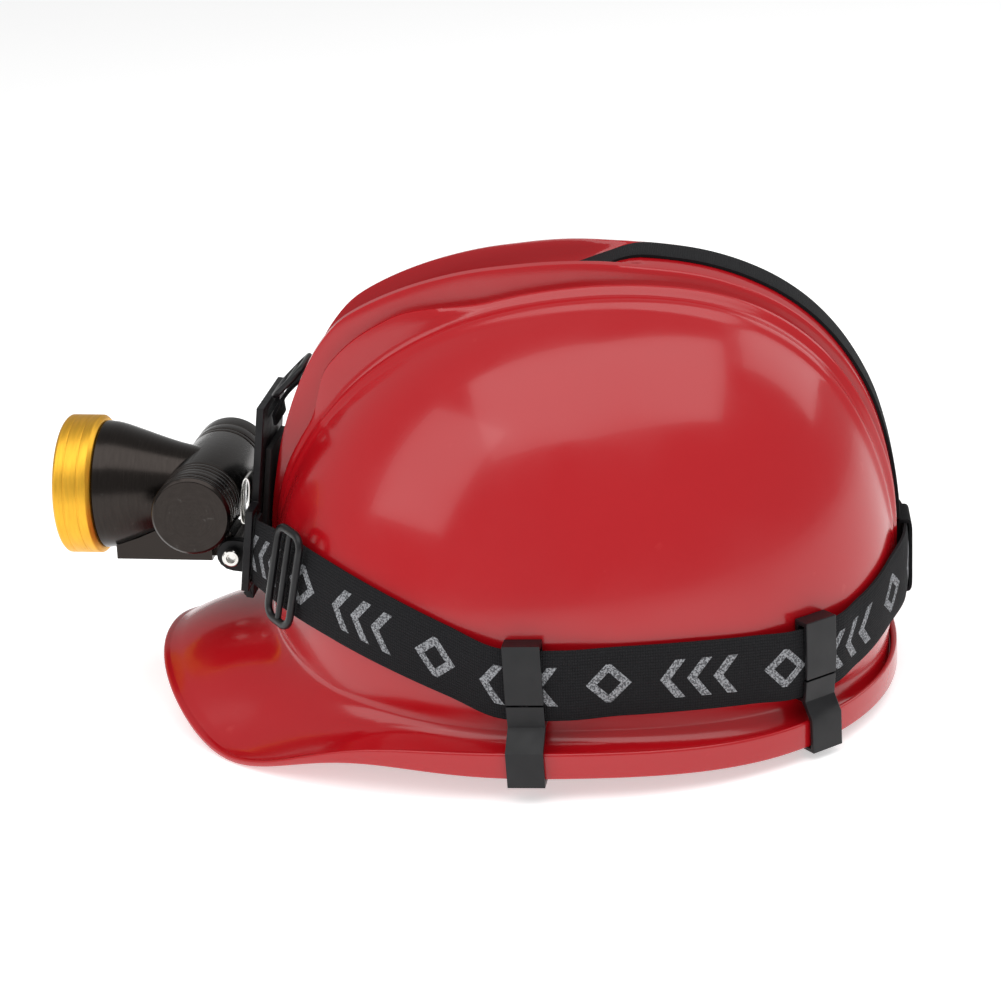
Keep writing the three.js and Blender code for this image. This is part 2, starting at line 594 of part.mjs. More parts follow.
function lampCradle() {
  const block = slab([[-37, -27], [9.6, -27], [9.6, -19], [4, -12], [-6, -9], [-37, -12]], -13, 13);
  const knuckle = moved(rod('y', -PIVOT.halfWidth, PIVOT.halfWidth, PIVOT.knuckle, 24), PIVOT.x, 0, PIVOT.z);
  const seat = rod('y', -20, 20, TUBE.radius + GAP, 28);
  const hornSeat = turned('x', [...hornProfile(GAP), [-41.5, 25.3 + GAP], [-60, 25.3 + GAP], [-60, 0]], 30);
  const slotTool = [[-20, -7.8], [7.8, 20]].map(([y0, y1]) => box(1.5, 20, y0, y1, -40, -17));
  const boltHole = moved(rod('y', -14, 14, PIVOT.bolt + GAP, 20), PIVOT.x, 0, PIVOT.z);
  const screwHoles = SCREW_PLACES.map(([x, y]) => moved(turnedZ(-30, -8, 1.6 + GAP), x, y, 0));
  const recesses = SCREW_PLACES.map(([x, y]) => moved(turnedZ(-30, -24.6, 2.9 + GAP), x, y, 0));
  const body = cut(join(block, knuckle), seat, hornSeat, ...slotTool, boltHole);
  return cut(body, ...screwHoles, ...recesses);
}
const SCREW_PLACES = [[-8, -8.5], [-8, 8.5]];
const turnedZ = (z0, z1, r, segments = 16) => rod('y', z0, z1, r, segments).rotateX(PI / 2);

const screw = (x, y) => moved(
  turned('y', [[-26.4, 0], [-26.4, 2.9], [-24.9, 2.9], [-24.9, 1.6], [-15.4, 1.6], [-15.4, 0]], 16)
    .rotateX(PI / 2), x, y, 0);

// ---------------------------------------------------------------- suspension inside the helmet
function headbandPoint(angle, standoff, z) {
  const a = PI - angle;
  const [rx, ry] = [HEADBAND.halfLength + standoff, HEADBAND.halfWidth + standoff];
  return vec(rx * power(cos(a), 0.95), ry * power(sin(a), 0.95), z);
}
function headbandRing() {
  const rows = [];
  for (let k = 0; k < 40; k++) {
    const a = (2 * PI * k) / 40;
    rows.push([[0, HEADBAND.low], [0, HEADBAND.high], [HEADBAND.thick, HEADBAND.high], [HEADBAND.thick, HEADBAND.low]]
      .map(([out, z]) => headbandPoint(a, out, z)));
  }
  return ribbon(rows, true);
}
function browPad() {
  const rows = [];
  for (let k = -6; k <= 6; k++) {
    const a = k * 9 * DEG;
    rows.push([[-5, HEADBAND.low - 1], [-5, HEADBAND.high + 2], [-1, HEADBAND.high + 2], [-1, HEADBAND.low - 1]]
      .map(([out, z]) => headbandPoint(a, out, z)));
  }
  return ribbon(rows);
}
function napeHousing() {
  const rows = [];
  for (let k = -4; k <= 4; k++) {
    const a = PI + k * 5.5 * DEG;
    rows.push([[2, 11], [2, 33], [8.6, 33], [8.6, 11]].map(([out, z]) => headbandPoint(a, out, z)));
  }
  return ribbon(rows);
}
// Round knob with finger ridges, turning about X.
function ratchetKnob() {
  const outline = new THREE.Shape();
  const steps = KNOB.ridges * 4;
  for (let k = 0; k < steps; k++) {
    const a = (2 * PI * k) / steps;
    const r = KNOB.radius - (k % 4 < 2 ? 0 : 0.9);
    if (k === 0) outline.moveTo(r * cos(a), r * sin(a)); else outline.lineTo(r * cos(a), r * sin(a));
  }
  const g = new THREE.ExtrudeGeometry(outline, { depth: KNOB.x1 - KNOB.x0, bevelEnabled: false });
  return closed(g.rotateY(PI / 2).translate(KNOB.x0, 0, KNOB.z));
}
const KEY_ANGLES = [32, 90, 146];
const KEY = { low: 20, middle: 34, top: 48, halfWidth: 9 };
function keyGeometry(angle) {
  const theta = thetaAt(angle, 1);
  const normal = domeNormal(theta, latitude(theta, KEY.middle)).setZ(0).normalize();
  const lean = wallLean(angle, wallPoint(angle, 1, KEY.middle, 0), normal);
  const outline = [[-5.2, KEY.low], [-2, KEY.low], [-2, KEY.middle], [-2, KEY.top], [-5.2, KEY.top],
    [-5.2, KEY.middle], [-5.2, KEY.low + 4], [-9, KEY.low + 4], [-9, KEY.low]];
  return slab(outline.map(([x, z]) => [x + lean(z), z]), -KEY.halfWidth, KEY.halfWidth);
}
function keyGroup(angle, side) {
  const theta = thetaAt(angle, side);
  const foot = wallPoint(angle, side, KEY.middle, -DOME.wall);
  const normal = domeNormal(theta, latitude(theta, KEY.middle));
  const g = new THREE.Group();
  g.position.set(foot.x, foot.y, 0);
  g.rotation.z = atan2(normal.y, normal.x);
  return g;
}
function crownStrap(angle, apex) {
  // From the key on one side, over the head, to the opposite key.
  const ends = [[angle, -1], [180 - angle, 1]].map(([a, side]) => {
    const nearest = KEY_ANGLES.reduce((p, q) => (abs(q - a) < abs(p - a) ? q : p));
    const p = wallPoint(nearest, side, KEY.top, -DOME.wall - 5);
    return vec(p.x, p.y, KEY.top + GAP);
  });
  const run = ends[1].clone().sub(ends[0]);
  const across = vec(-run.y, run.x, 0).normalize().multiplyScalar(9);
  const rows = [];
  const steps = 16;
  for (let k = 0; k <= steps; k++) {
    const t = k / steps;
    const s = PI * t;
    const p = ends[0].clone().addScaledVector(run, (1 - cos(s)) / 2);
    p.z = KEY.top + GAP + (apex - KEY.top) * sin(s) ** 1.3;
    const slope = run.clone().multiplyScalar(sin(s) + 0.02).setZ((apex - KEY.top) * 2 * cos(s)).normalize();
    const normal = across.clone().normalize().cross(slope).normalize();
    if (normal.z < 0) normal.negate();
    rows.push([[-1, 0], [1, 0], [1, 1.2], [-1, 1.2]]
      .map(([w, up]) => p.clone().addScaledVector(across, w).addScaledVector(normal, up)));
  }
  return ribbon(rows);
}

// ---------------------------------------------------------------- assembly
const model = new THREE.Group();
model.position.set(ORIGIN_SHIFT.x, 0, ORIGIN_SHIFT.z);

function add(parent, name, geometry, finish) {
  const mesh = new THREE.Mesh(geometry, new THREE.MeshStandardMaterial(finish));
  mesh.name = name;
  parent.add(mesh);
  return mesh;
}

const bracket = new THREE.Group();
bracket.position.set(BRACKET.x, 0, BRACKET.z);
bracket.rotation.y = BRACKET.lean;
const lamp = new THREE.Group();
lamp.position.set(LAMP.x, 0, LAMP.z);
lamp.rotation.y = LAMP.pitch;
model.add(bracket, lamp);
bracket.updateMatrix();
lamp.updateMatrix();
const pivotInBracket = vec(PIVOT.x, 0, PIVOT.z).applyMatrix4(lamp.matrix)
  .applyMatrix4(bracket.matrix.clone().invert());

add(model, 'helmet_shell', helmetShell(), RED_PLASTIC);
add(model, 'headband_strap', headbandStrap(), WEBBING);
add(model, 'top_strap', topStrap(), WEBBING);
add(model, 'rear_strap_loop', rearLoop(), WEBBING);

for (const [side, sideName] of [[-1, 'left'], [1, 'right']]) {
  HOOK.angles.forEach((angle, k) => {
    const group = wallGroup(angle, side);
    add(group, `hook_${k ? 'rear' : 'front'}_${sideName}`, hookGeometry(angle), BLACK_PLASTIC);
    model.add(group);
  });
}

for (const [side, sideName] of [[-1, 'left'], [1, 'right']]) {
  const group = sideBuckleGroup(side);
  add(group, `buckle_${sideName}`, slideBuckle(SIDE_BUCKLE), BLACK_PLASTIC);
  model.add(group);
}
const topBuckle = topBuckleGroup();
add(topBuckle, 'top_strap_buckle', slideBuckle(TOP_BUCKLE), BLACK_PLASTIC);
model.add(topBuckle);

add(bracket, 'bracket_plate', bracketPlate(), BLACK_PLASTIC);
add(bracket, 'bracket_pad', bracketPad(), RUBBER);
add(bracket, 'detent_spring', detentSpring(), STEEL);
const bolt = turned('y', [[-16.3, 0], [-16.3, 3.5], [-12.75, 3.5], [-12.75, PIVOT.bolt], [16.4, PIVOT.bolt],
  [16.4, 0]], 24);
const socket = new THREE.CylinderGeometry(1.6, 1.6, 2.2, 6).translate(0, -15.4, 0);
const boltMesh = add(bracket, 'tilt_bolt', cut(bolt, socket), STEEL);
const nutShape = new THREE.CylinderGeometry(3.9, 3.9, 3.2, 6).translate(0, 14.35, 0);
const nutMesh = add(bracket, 'tilt_nut', cut(nutShape, rod('y', 10, 20, PIVOT.bolt + 0.15, 20)), STEEL);
for (const mesh of [boltMesh, nutMesh]) mesh.position.copy(pivotInBracket);

add(lamp, 'lamp_housing', lampHousing(), BLACK_ANODISED);
add(lamp, 'lamp_cradle', lampCradle(), BLACK_ANODISED);
SCREW_PLACES.forEach(([x, y], k) => add(lamp, `cradle_screw_${k + 1}`, screw(x, y), STEEL));
add(lamp, 'bezel', bezelRing(), GOLD_ANODISED);
add(lamp, 'lens', lensGlass(), GLASS);
add(lamp, 'lens_carrier', lensCarrier(), BLACK_PLASTIC);
add(lamp, 'light_shroud', turned('x', [[-29, 6], [-29, 7.4], [-40, 16], [-40, 14.6], [-29, 6]], 28), BLACK_PLASTIC);
add(lamp, 'heat_sink', rod('x', -24.9, -18.6, 16.6, 32), STEEL);
add(lamp, 'led_board', rod('x', -26.9, -25.3, 9.5, 24), WHITE_PLASTIC);
add(lamp, 'led_emitter', join(box(-28.1, -27.2, -2.5, 2.5, -2.5, 2.5),
  turned('x', [[-28.0, 0], [-28.0, 2.2], [-29.2, 1.9], [-30.1, 1.1], [-30.4, 0]], 16)), EMITTER_YELLOW);
add(lamp, 'driver_board', rod('x', -18.2, -16.6, 15, 28), BOARD_GREEN);
add(lamp, 'battery_cell', turned('y', [[CELL.start, 0], [CELL.start, CELL.radius], [CELL.start + 63.2, CELL.radius],
  [CELL.start + 63.2, 6], [CELL.start + CELL.length, 5], [CELL.start + CELL.length, 0]], 32), CELL_SLEEVE);
add(lamp, 'battery_cap', batteryCap(), BLACK_ANODISED);
add(lamp, 'battery_spring', turned('y', [[-34.2, 0], [-34.2, 8], [-33.6, 8], [-31.75, 4], [-31.75, 0]], 20), STEEL);
add(lamp, 'switch_cap', tubeCup(TUBE.far - 10, TUBE.far, 6.4), BLACK_ANODISED);
add(lamp, 'contact_plate', rod('y', 34.3, 35.3, 12.8, 28), BOARD_GREEN);
add(lamp, 'switch_body', rod('y', 35.65, 37.4, 5, 20), BLACK_PLASTIC);
add(lamp, 'switch_button', turned('y', [[39, 0], [39, 6], [42.2, 6], [42.7, 5.2], [42.7, 0]], 24), RUBBER);

add(model, 'suspension_headband', headbandRing(), GREY_PLASTIC);
add(model, 'brow_pad', browPad(), FOAM);
add(model, 'nape_housing', napeHousing(), GREY_PLASTIC);
add(model, 'ratchet_knob', ratchetKnob(), BLACK_PLASTIC);
KEY_ANGLES.forEach((angle, k) => {
  for (const [side, sideName] of [[-1, 'left'], [1, 'right']]) {
    const group = keyGroup(angle, side);
    add(group, `suspension_key_${['front', 'middle', 'rear'][k]}_${sideName}`, keyGeometry(angle), GREY_PLASTIC);
    model.add(group);
  }
});
[[32, 104], [90, 108], [146, 112]].forEach(([angle, apex], k) => {
  add(model, `crown_strap_${k + 1}`, crownStrap(angle, apex), WEBBING);
});

export default model;
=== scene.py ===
"""Looks of a miner's cap lamp strapped to a safety helmet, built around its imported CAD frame.

Shapes are laid out in millimetres from the middle of the helmet at its rim plane, as the CAD is.
The peak and the lamp point along -X, and the wearer's left side is -Y. LAYOUT turns that frame
into the row frame in metres.
"""
import math

import bmesh
import bpy
import numpy as np
from mathutils import Matrix, Vector, noise


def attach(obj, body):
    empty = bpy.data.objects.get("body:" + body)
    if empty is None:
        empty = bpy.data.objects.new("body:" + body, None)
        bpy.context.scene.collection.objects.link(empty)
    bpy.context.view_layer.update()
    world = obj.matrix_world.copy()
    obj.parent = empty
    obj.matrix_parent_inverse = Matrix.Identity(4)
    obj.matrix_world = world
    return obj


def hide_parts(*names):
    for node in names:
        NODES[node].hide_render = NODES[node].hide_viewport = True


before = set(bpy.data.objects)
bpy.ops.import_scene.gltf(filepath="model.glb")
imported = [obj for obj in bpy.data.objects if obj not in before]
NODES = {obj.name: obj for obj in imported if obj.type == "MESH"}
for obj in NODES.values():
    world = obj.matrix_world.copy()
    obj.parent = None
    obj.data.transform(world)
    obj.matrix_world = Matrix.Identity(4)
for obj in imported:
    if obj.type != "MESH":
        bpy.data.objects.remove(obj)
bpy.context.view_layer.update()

# ---------------------------------------------------------------- frames and driving sizes, in mm
LAYOUT = Matrix.Scale(0.001, 4) @ Matrix.Translation((34.5, 0, 7.6))
BRACKET_FRAME = LAYOUT @ Matrix.Translation((-126.8, 0, 50)) @ Matrix.Rotation(math.radians(9.4), 4, "Y")
LAMP_FRAME = LAYOUT @ Matrix.Translation((-143, 0, 75.7)) @ Matrix.Rotation(math.radians(3), 4, "Y")

DOME_FRONT, DOME_REAR, DOME_HALF_WIDTH, DOME_HEIGHT, WALL = 122, 126, 103, 156, 3
RIM_FRONT, RIM_REAR, RIM_HALF_WIDTH, RIM_LIP = 167, 123.5, 113.5, 2.6
# Height of the crests over the dome at each angle seen from the side, in degrees.
CREST = ((-2, 0), (8, 2), (20, 5.5), (32, 11.5), (44, 18.4), (50, 20.4), (56, 18.6), (68, 14.6),
         (80, 11), (92, 9), (104, 6.4), (122, 4.6), (150, 4), (166, 2.2), (178, 0))
SHELL_ROWS, SHELL_COLUMNS = 144, 34

STRAP_WIDTH, STRAP_THICK = 26, 1.6
TOP_STRAP_WIDTH = 20
HOOK_ANGLES = (85.5, 134)

TUBE_RADIUS, TUBE_NEAR, TUBE_FAR, TUBE_BORE = 15.5, -37, 41, 13.45
PIVOT = (9.6, -25)

BAND_HALF_LENGTH, BAND_HALF_WIDTH, BAND_LOW, BAND_HIGH = 98, 83, 8, 36


# ---------------------------------------------------------------- small maths
def clamp01(x):
    return min(max(x, 0.0), 1.0)


def smooth(a, b, x):
    t = clamp01((x - a) / (b - a))
    return t * t * (3 - 2 * t)


def bell(x, centre, width):
    return math.exp(-(((x - centre) / width) ** 2))


def power(value, exponent):
    return math.copysign(abs(value) ** exponent, value)


def spread(a, b, count):
    """count numbers from a to b, both included."""
    return [a + (b - a) * k / (count - 1) for k in range(count)]


def spline(points, count):
    """count points along a Catmull-Rom curve through the given ones, evenly spaced in arc length."""
    points = [Vector(p) for p in points]
    padded = [2 * points[0] - points[1], *points, 2 * points[-1] - points[-2]]
    fine = []
    for k in range(1, len(padded) - 2):
        before, here, there, after = padded[k - 1 : k + 3]
        for t in spread(0, 1, 25)[:-1]:
            fine.append(
                0.5 * (2 * here + (there - before) * t + (2 * before - 5 * here + 4 * there - after) * t * t
                       + (3 * here - before - 3 * there + after) * t ** 3))
    fine.append(points[-1])
    reached = [0.0]
    for a, b in zip(fine, fine[1:]):
        reached.append(reached[-1] + (b - a).length)
    out, k = [], 0
    for wanted in spread(0, reached[-1], count):
        while k < len(fine) - 2 and reached[k + 1] < wanted:
            k += 1
        share = (wanted - reached[k]) / max(reached[k + 1] - reached[k], 1e-9)
        out.append(fine[k].lerp(fine[k + 1], clamp01(share)))
    return out


# ---------------------------------------------------------------- meshes
def new_object(name, points, faces, space, uvs=None):
    """A mesh object at the origin, its points taken from space to the row frame.

    uvs holds one pair per point.
    """
    mesh = bpy.data.meshes.new(name)
    mesh.from_pydata([space @ Vector(p) for p in points], [], faces)
    if uvs:
        layer = mesh.uv_layers.new(name="UVMap")
        corners = [0] * len(mesh.loops)
        mesh.loops.foreach_get("vertex_index", corners)
        layer.data.foreach_set("uv", [x for v in corners for x in uvs[v]])
    shape = bmesh.new()
    shape.from_mesh(mesh)
    bmesh.ops.remove_doubles(shape, verts=shape.verts, dist=1e-6)
    bmesh.ops.recalc_face_normals(shape, faces=shape.faces)
    shape.to_mesh(mesh)
    shape.free()
    obj = bpy.data.objects.new(name, mesh)
    bpy.context.scene.collection.objects.link(obj)
    return obj


def finish_piece(obj, body, material, replaces=(), sharp=38):
    """Give a new piece its material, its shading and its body."""
    obj.data.materials.clear()
    obj.data.materials.append(material)
    obj.data.shade_smooth()
    obj.data.set_sharp_from_angle(angle=math.radians(sharp))
    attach(obj, body)
    if replaces:
        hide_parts(*replaces)
    return obj


def loft(rows, loop=False):
    """Points and faces of closed rows joined in order, as a loop or with two capped ends."""
    size = len(rows[0])
    points = [p for row in rows for p in row]
    faces = []
    for r in range(len(rows) if loop else len(rows) - 1):
        here, there = r * size, ((r + 1) % len(rows)) * size
        for k in range(size):
            n = (k + 1) % size
            faces.append((here + k, here + n, there + n, there + k))
    if not loop:
        faces.append(tuple(range(size - 1, -1, -1)))
        faces.append(tuple(range(len(points) - size, len(points))))
    return points, faces


def rounded(profile, radius, steps=3):
    """The profile with each inner corner turned into a small arc."""
    out = [profile[0]]
    for before, here, after in zip(profile, profile[1:], profile[2:]):
        a, b, c = Vector(before), Vector(here), Vector(after)
        reach = min(radius, 0.45 * (a - b).length, 0.45 * (c - b).length)
        start, end = b + (a - b).normalized() * reach, b + (c - b).normalized() * reach
        for t in spread(0, 1, steps + 1):
            out.append(tuple((1 - t) ** 2 * start + 2 * t * (1 - t) * b + t * t * end))
    out.append(profile[-1])
    return out


def turned(name, profile, axis="x", segments=96, space=LAMP_FRAME, centre=(0, 0, 0), hexed=()):
    """A round turned from (axial, radius) pairs about X or Y. hexed lists the rows drawn as a hexagon."""
    rows, uvs = [], []
    run = 0.0
    for k, (axial, radius) in enumerate(profile):
        if k:
            run += math.dist(profile[k - 1], profile[k])
        row = []
        for s in range(segments):
            a = 2 * math.pi * s / segments
            r = max(radius, 0.002)
            if k in hexed:
                r /= math.cos(a % (math.pi / 3) - math.pi / 6)
            flat = (axial, r * math.cos(a), r * math.sin(a))
            x, y, z = flat if axis == "x" else (flat[2], flat[0], flat[1])
            row.append((x + centre[0], y + centre[1], z + centre[2]))
            uvs.append((0.02 * abs(s / segments * 2 - 1) * math.pi, run * 0.001))
        rows.append(row)
    points, faces = loft(rows)
    return new_object(name, points, faces, space, uvs)


def combine(obj, operation, *others):
    """Apply an exact boolean of obj with the others, which are removed."""
    for other in others:
        modifier = obj.modifiers.new("join", "BOOLEAN")
        modifier.operation = operation
        modifier.solver = "EXACT"
        modifier.object = other
    bpy.context.view_layer.update()
    made = bpy.data.meshes.new_from_object(obj.evaluated_get(bpy.context.evaluated_depsgraph_get()))
    obj.modifiers.clear()
    obj.data = made
    for other in others:
        bpy.data.objects.remove(other)
    return obj


def soften(node, material, width=0.35, segments=2):
    """Keep a CAD node, with its edges rounded and a better material."""
    obj = NODES[node]
    obj.data.materials.clear()
    obj.data.materials.append(material)
    weld = obj.modifiers.new("weld", "WELD")
    weld.merge_threshold = 2e-5
    bevel = obj.modifiers.new("bevel", "BEVEL")
    bevel.width = width * 0.001
    bevel.segments = segments
    bevel.limit_method = "ANGLE"
    bevel.angle_limit = math.radians(32)
    bevel.harden_normals = False
    normals = obj.modifiers.new("normals", "WEIGHTED_NORMAL")
    normals.keep_sharp = False
    obj.data.shade_smooth()
    return obj


# ---------------------------------------------------------------- materials
class Shader:
    """A Principled material, with helpers that add one node each and return its output socket."""

    def __init__(self, name, color, roughness, metallic=0.0, **sockets):
        self.material = bpy.data.materials.new(name)
        self.material.use_nodes = True
        self.material.diffuse_color = (*color, 1.0)
        self.tree = self.material.node_tree
        self.bsdf = self.tree.nodes["Principled BSDF"]
        self.color = (*color, 1.0)
        self.bsdf.inputs["Base Color"].default_value = self.color
        self.bsdf.inputs["Roughness"].default_value = roughness
        self.bsdf.inputs["Metallic"].default_value = metallic
        for socket, value in sockets.items():
            self.bsdf.inputs[socket.replace("_", " ")].default_value = value

    def node(self, kind, output=0, settings=None, **inputs):
        made = self.tree.nodes.new(kind)
        for key, value in (settings or {}).items():
            setattr(made, key, value)
        for key, value in inputs.items():
            index = int(key[1:]) if key[0] == "i" and key[1:].isdigit() else key
            self.put(made.inputs[index], value)
        return made.outputs[output]

    def put(self, socket, value):
        if isinstance(value, bpy.types.NodeSocket):
            self.tree.links.new(value, socket)
        else:
            socket.default_value = value

    def coords(self, kind="Object", scale=(1, 1, 1)):
        out = self.tree.nodes.new("ShaderNodeTexCoord").outputs[kind]
        return self.node("ShaderNodeMapping", Vector=out, Scale=scale) if scale != (1, 1, 1) else out

    def math(self, operation, a, b=0.0):
        return self.node("ShaderNodeMath", settings={"operation": operation}, i0=a, i1=b)

    def noise(self, scale, detail=4.0, vector=None):
        return self.node("ShaderNodeTexNoise", Vector=vector or self.coords(), Scale=scale, Detail=detail)

    def remap(self, value, low, high, new_low, new_high):
        return self.node("ShaderNodeMapRange", i0=value, i1=low, i2=high, i3=new_low, i4=new_high)

    def mix(self, share, a, b):
        return self.node("ShaderNodeMix", output=2, settings={"data_type": "RGBA"}, i0=share, i6=a, i7=b)

    def tint(self, share, other):
        """Blend the base colour towards another colour by share."""
        socket = self.bsdf.inputs["Base Color"]
        base = socket.links[0].from_socket if socket.links else self.color
        self.put(socket, self.mix(share, base, (*other, 1.0)))

    def rough(self, value):
        self.put(self.bsdf.inputs["Roughness"], value)

    def bump(self, height, distance, strength=1.0):
        """Distance is in metres."""
        socket = self.bsdf.inputs["Normal"]
        made = self.tree.nodes.new("ShaderNodeBump")
        self.put(made.inputs["Height"], height)
        made.inputs["Distance"].default_value = distance
        made.inputs["Strength"].default_value = strength
        if socket.links:
            self.put(made.inputs["Normal"], socket.links[0].from_socket)
        self.put(socket, made.outputs[0])


def red_plastic():
    s = Shader("red_plastic", (0.46, 0.005, 0.010), 0.24, Coat_Weight=0.2, Coat_Roughness=0.05)
    cloud = s.noise(14, 3)
    s.tint(s.remap(cloud, 0.4, 0.7, 0.0, 0.35), (0.42, 0.004, 0.009))
    scuffs = s.noise(90, 8)
    s.tint(s.remap(scuffs, 0.70, 0.78, 0.0, 0.25), (0.62, 0.05, 0.05))
    s.rough(s.remap(s.noise(35, 6), 0.35, 0.7, 0.15, 0.27))
    s.bump(s.noise(420, 2), 0.00004, 0.35)
    s.bump(s.noise(45, 2), 0.0003, 0.25)
    return s.material


def webbing(name, pitch, motif=False):
    """Woven elastic: cords along the strap and picks across it, drawn on UVs in metres."""
    s = Shader(name, (0.006, 0.006, 0.007), 0.86, Specular_IOR_Level=0.2)
    uv = s.node("ShaderNodeSeparateXYZ", Vector=s.coords("UV"))
    along, across = uv, uv.node.outputs[1]
    cord = s.math("ABSOLUTE", s.math("SINE", s.math("MULTIPLY", across, math.pi / pitch)))
    pick = s.math("ABSOLUTE", s.math("SINE", s.math("MULTIPLY", along, math.pi / (0.8 * pitch))))
    weave = s.math("MULTIPLY", s.math("POWER", cord, 0.6), s.math("POWER", pick, 0.5))
    s.tint(s.remap(weave, 0.1, 1.0, 0.0, 0.55), (0.022, 0.022, 0.024))
    fluff = s.noise(3500, 2)
    s.tint(s.remap(fluff, 0.6, 0.72, 0.0, 0.5), (0.045, 0.045, 0.048))
    if motif:
        mark = motif_mask(s, along, across)
        speck = s.remap(s.noise(1500, 3), 0.44, 0.56, 0.25, 1.0)
        s.tint(s.math("MULTIPLY", mark, speck), (0.36, 0.37, 0.39))
    s.bump(weave, 0.0003, 0.8)
    return s.material


MOTIF_PERIOD, MOTIF_HALF, STROKE = 0.064, 0.0072, 0.0036


def motif_mask(s, along, across):
    """One along the strap wherever the woven motif is: chevrons with a lozenge between each group."""
    side = s.math("ABSOLUTE", s.math("SUBTRACT", across, 0.0005 * STRAP_WIDTH))
    inside = s.math("LESS_THAN", side, MOTIF_HALF)
    place = s.math("WRAP", s.math("ADD", along, 0.0), MOTIF_PERIOD)
    place.node.inputs[2].default_value = 0.0
    slanted = s.math("SUBTRACT", place, s.math("MULTIPLY", side, 0.75))
    total = None
    for start in (0.004, 0.0135, 0.023):
        near = s.math("ABSOLUTE", s.math("SUBTRACT", slanted, start + STROKE / 2))
        stroke = s.math("LESS_THAN", near, STROKE / 2)
        total = stroke if total is None else s.math("MAXIMUM", total, stroke)
    away = s.math("ADD", s.math("ABSOLUTE", s.math("SUBTRACT", place, 0.050)), side)
    frame_of = s.math("LESS_THAN", s.math("ABSOLUTE", s.math("SUBTRACT", away, 0.0062)), 0.0019)
    return s.math("MULTIPLY", inside, s.math("MAXIMUM", total, frame_of))


def plain_plastic(name, color, low, high, grain=1800, relief=0.00002, **sockets):
    s = Shader(name, color, low, **sockets)
    lighter = tuple(min(1.0, c * 1.5 + 0.006) for c in color)
    s.tint(s.remap(s.noise(60, 5), 0.5, 0.72, 0.0, 0.5), lighter)
    s.rough(s.remap(s.noise(140, 4), 0.35, 0.7, low, high))
    s.bump(s.noise(grain, 2), relief, 0.7)
    return s.material


def turned_metal(name, color, low, high, lines=9000, relief=0.00001, wear=None, **sockets):
    """Metal with fine tool lines running round each turned surface, drawn on its UVs."""
    s = Shader(name, color, low, 1.0, **sockets)
    streak = s.noise(1.0, 3, s.coords("UV", (60, lines, 1)))
    soft = s.noise(1.0, 3, s.coords("UV", (150, lines / 9, 1)))
    darker = tuple(c * 0.72 for c in color)
    s.tint(s.remap(soft, 0.35, 0.7, 0.0, 0.6), darker)
    if wear:
        s.tint(s.remap(s.noise(260, 6), 0.68, 0.74, 0.0, 0.5), wear)
    s.rough(s.remap(streak, 0.3, 0.7, low, high))
    s.bump(streak, relief, 0.8)
    return s.material


def steel_material():
    s = Shader("polished_steel", (0.74, 0.73, 0.70), 0.16, 1.0)
    s.rough(s.remap(s.noise(300, 4), 0.3, 0.7, 0.1, 0.26))
    s.tint(s.remap(s.noise(180, 4), 0.5, 0.7, 0.0, 0.5), (0.45, 0.42, 0.38))
    s.bump(s.noise(900, 3), 0.00001, 0.6)
    return s.material


def foam_fabric():
    s = Shader("brow_fabric", (0.022, 0.022, 0.025), 0.9, Sheen_Weight=0.5)
    dots = s.node("ShaderNodeTexVoronoi", Vector=s.coords(), Scale=620.0)
    s.tint(s.remap(dots, 0.0, 0.55, 0.5, 0.0), (0.004, 0.004, 0.004))
    s.tint(s.remap(s.noise(2600, 2), 0.5, 0.7, 0.0, 0.5), (0.06, 0.06, 0.065))
    s.bump(dots, 0.0004, 0.8)
    return s.material


def board(name, color):
    s = Shader(name, color, 0.45)
    track = s.node("ShaderNodeTexVoronoi", settings={"distance": "MANHATTAN"},
                   Vector=s.coords(), Scale=260.0)
    s.tint(s.remap(track, 0.30, 0.34, 0.4, 0.0), tuple(min(1.0, c * 1.6 + 0.03) for c in color))
    s.bump(track, 0.00005, 0.5)
    return s.material


def phosphor():
    s = Shader("phosphor", (0.82, 0.62, 0.08), 0.4)
    s.tint(s.remap(s.noise(1800, 2), 0.4, 0.65, 0.0, 0.5), (0.9, 0.8, 0.25))
    s.bump(s.noise(2500, 2), 0.00003, 0.5)
    return s.material


def sleeve():
    s = Shader("cell_sleeve", (0.03, 0.10, 0.28), 0.25, Coat_Weight=0.4)
    s.tint(s.remap(s.noise(90, 5), 0.45, 0.7, 0.0, 0.4), (0.05, 0.16, 0.40))
    s.bump(s.noise(200, 3), 0.00008, 0.5)
    return s.material


def clear_glass():
    s = Shader("lens_glass", (0.95, 0.97, 0.98), 0.02, Transmission_Weight=1.0, IOR=1.49)
    s.rough(s.remap(s.noise(120, 5), 0.4, 0.75, 0.01, 0.06))
    return s.material


def pale_floor():
    s = Shader("pale_floor", (0.90, 0.90, 0.90), 0.85)
    s.bsdf.inputs["Specular IOR Level"].default_value = 0.1
    s.bsdf.inputs["Emission Color"].default_value = (1.0, 1.0, 1.0, 1.0)
    s.bsdf.inputs["Emission Strength"].default_value = 0.5
    s.tint(s.remap(s.noise(2.0, 2), 0.3, 0.7, 0.0, 0.3), (0.92, 0.92, 0.92))
    return s.material


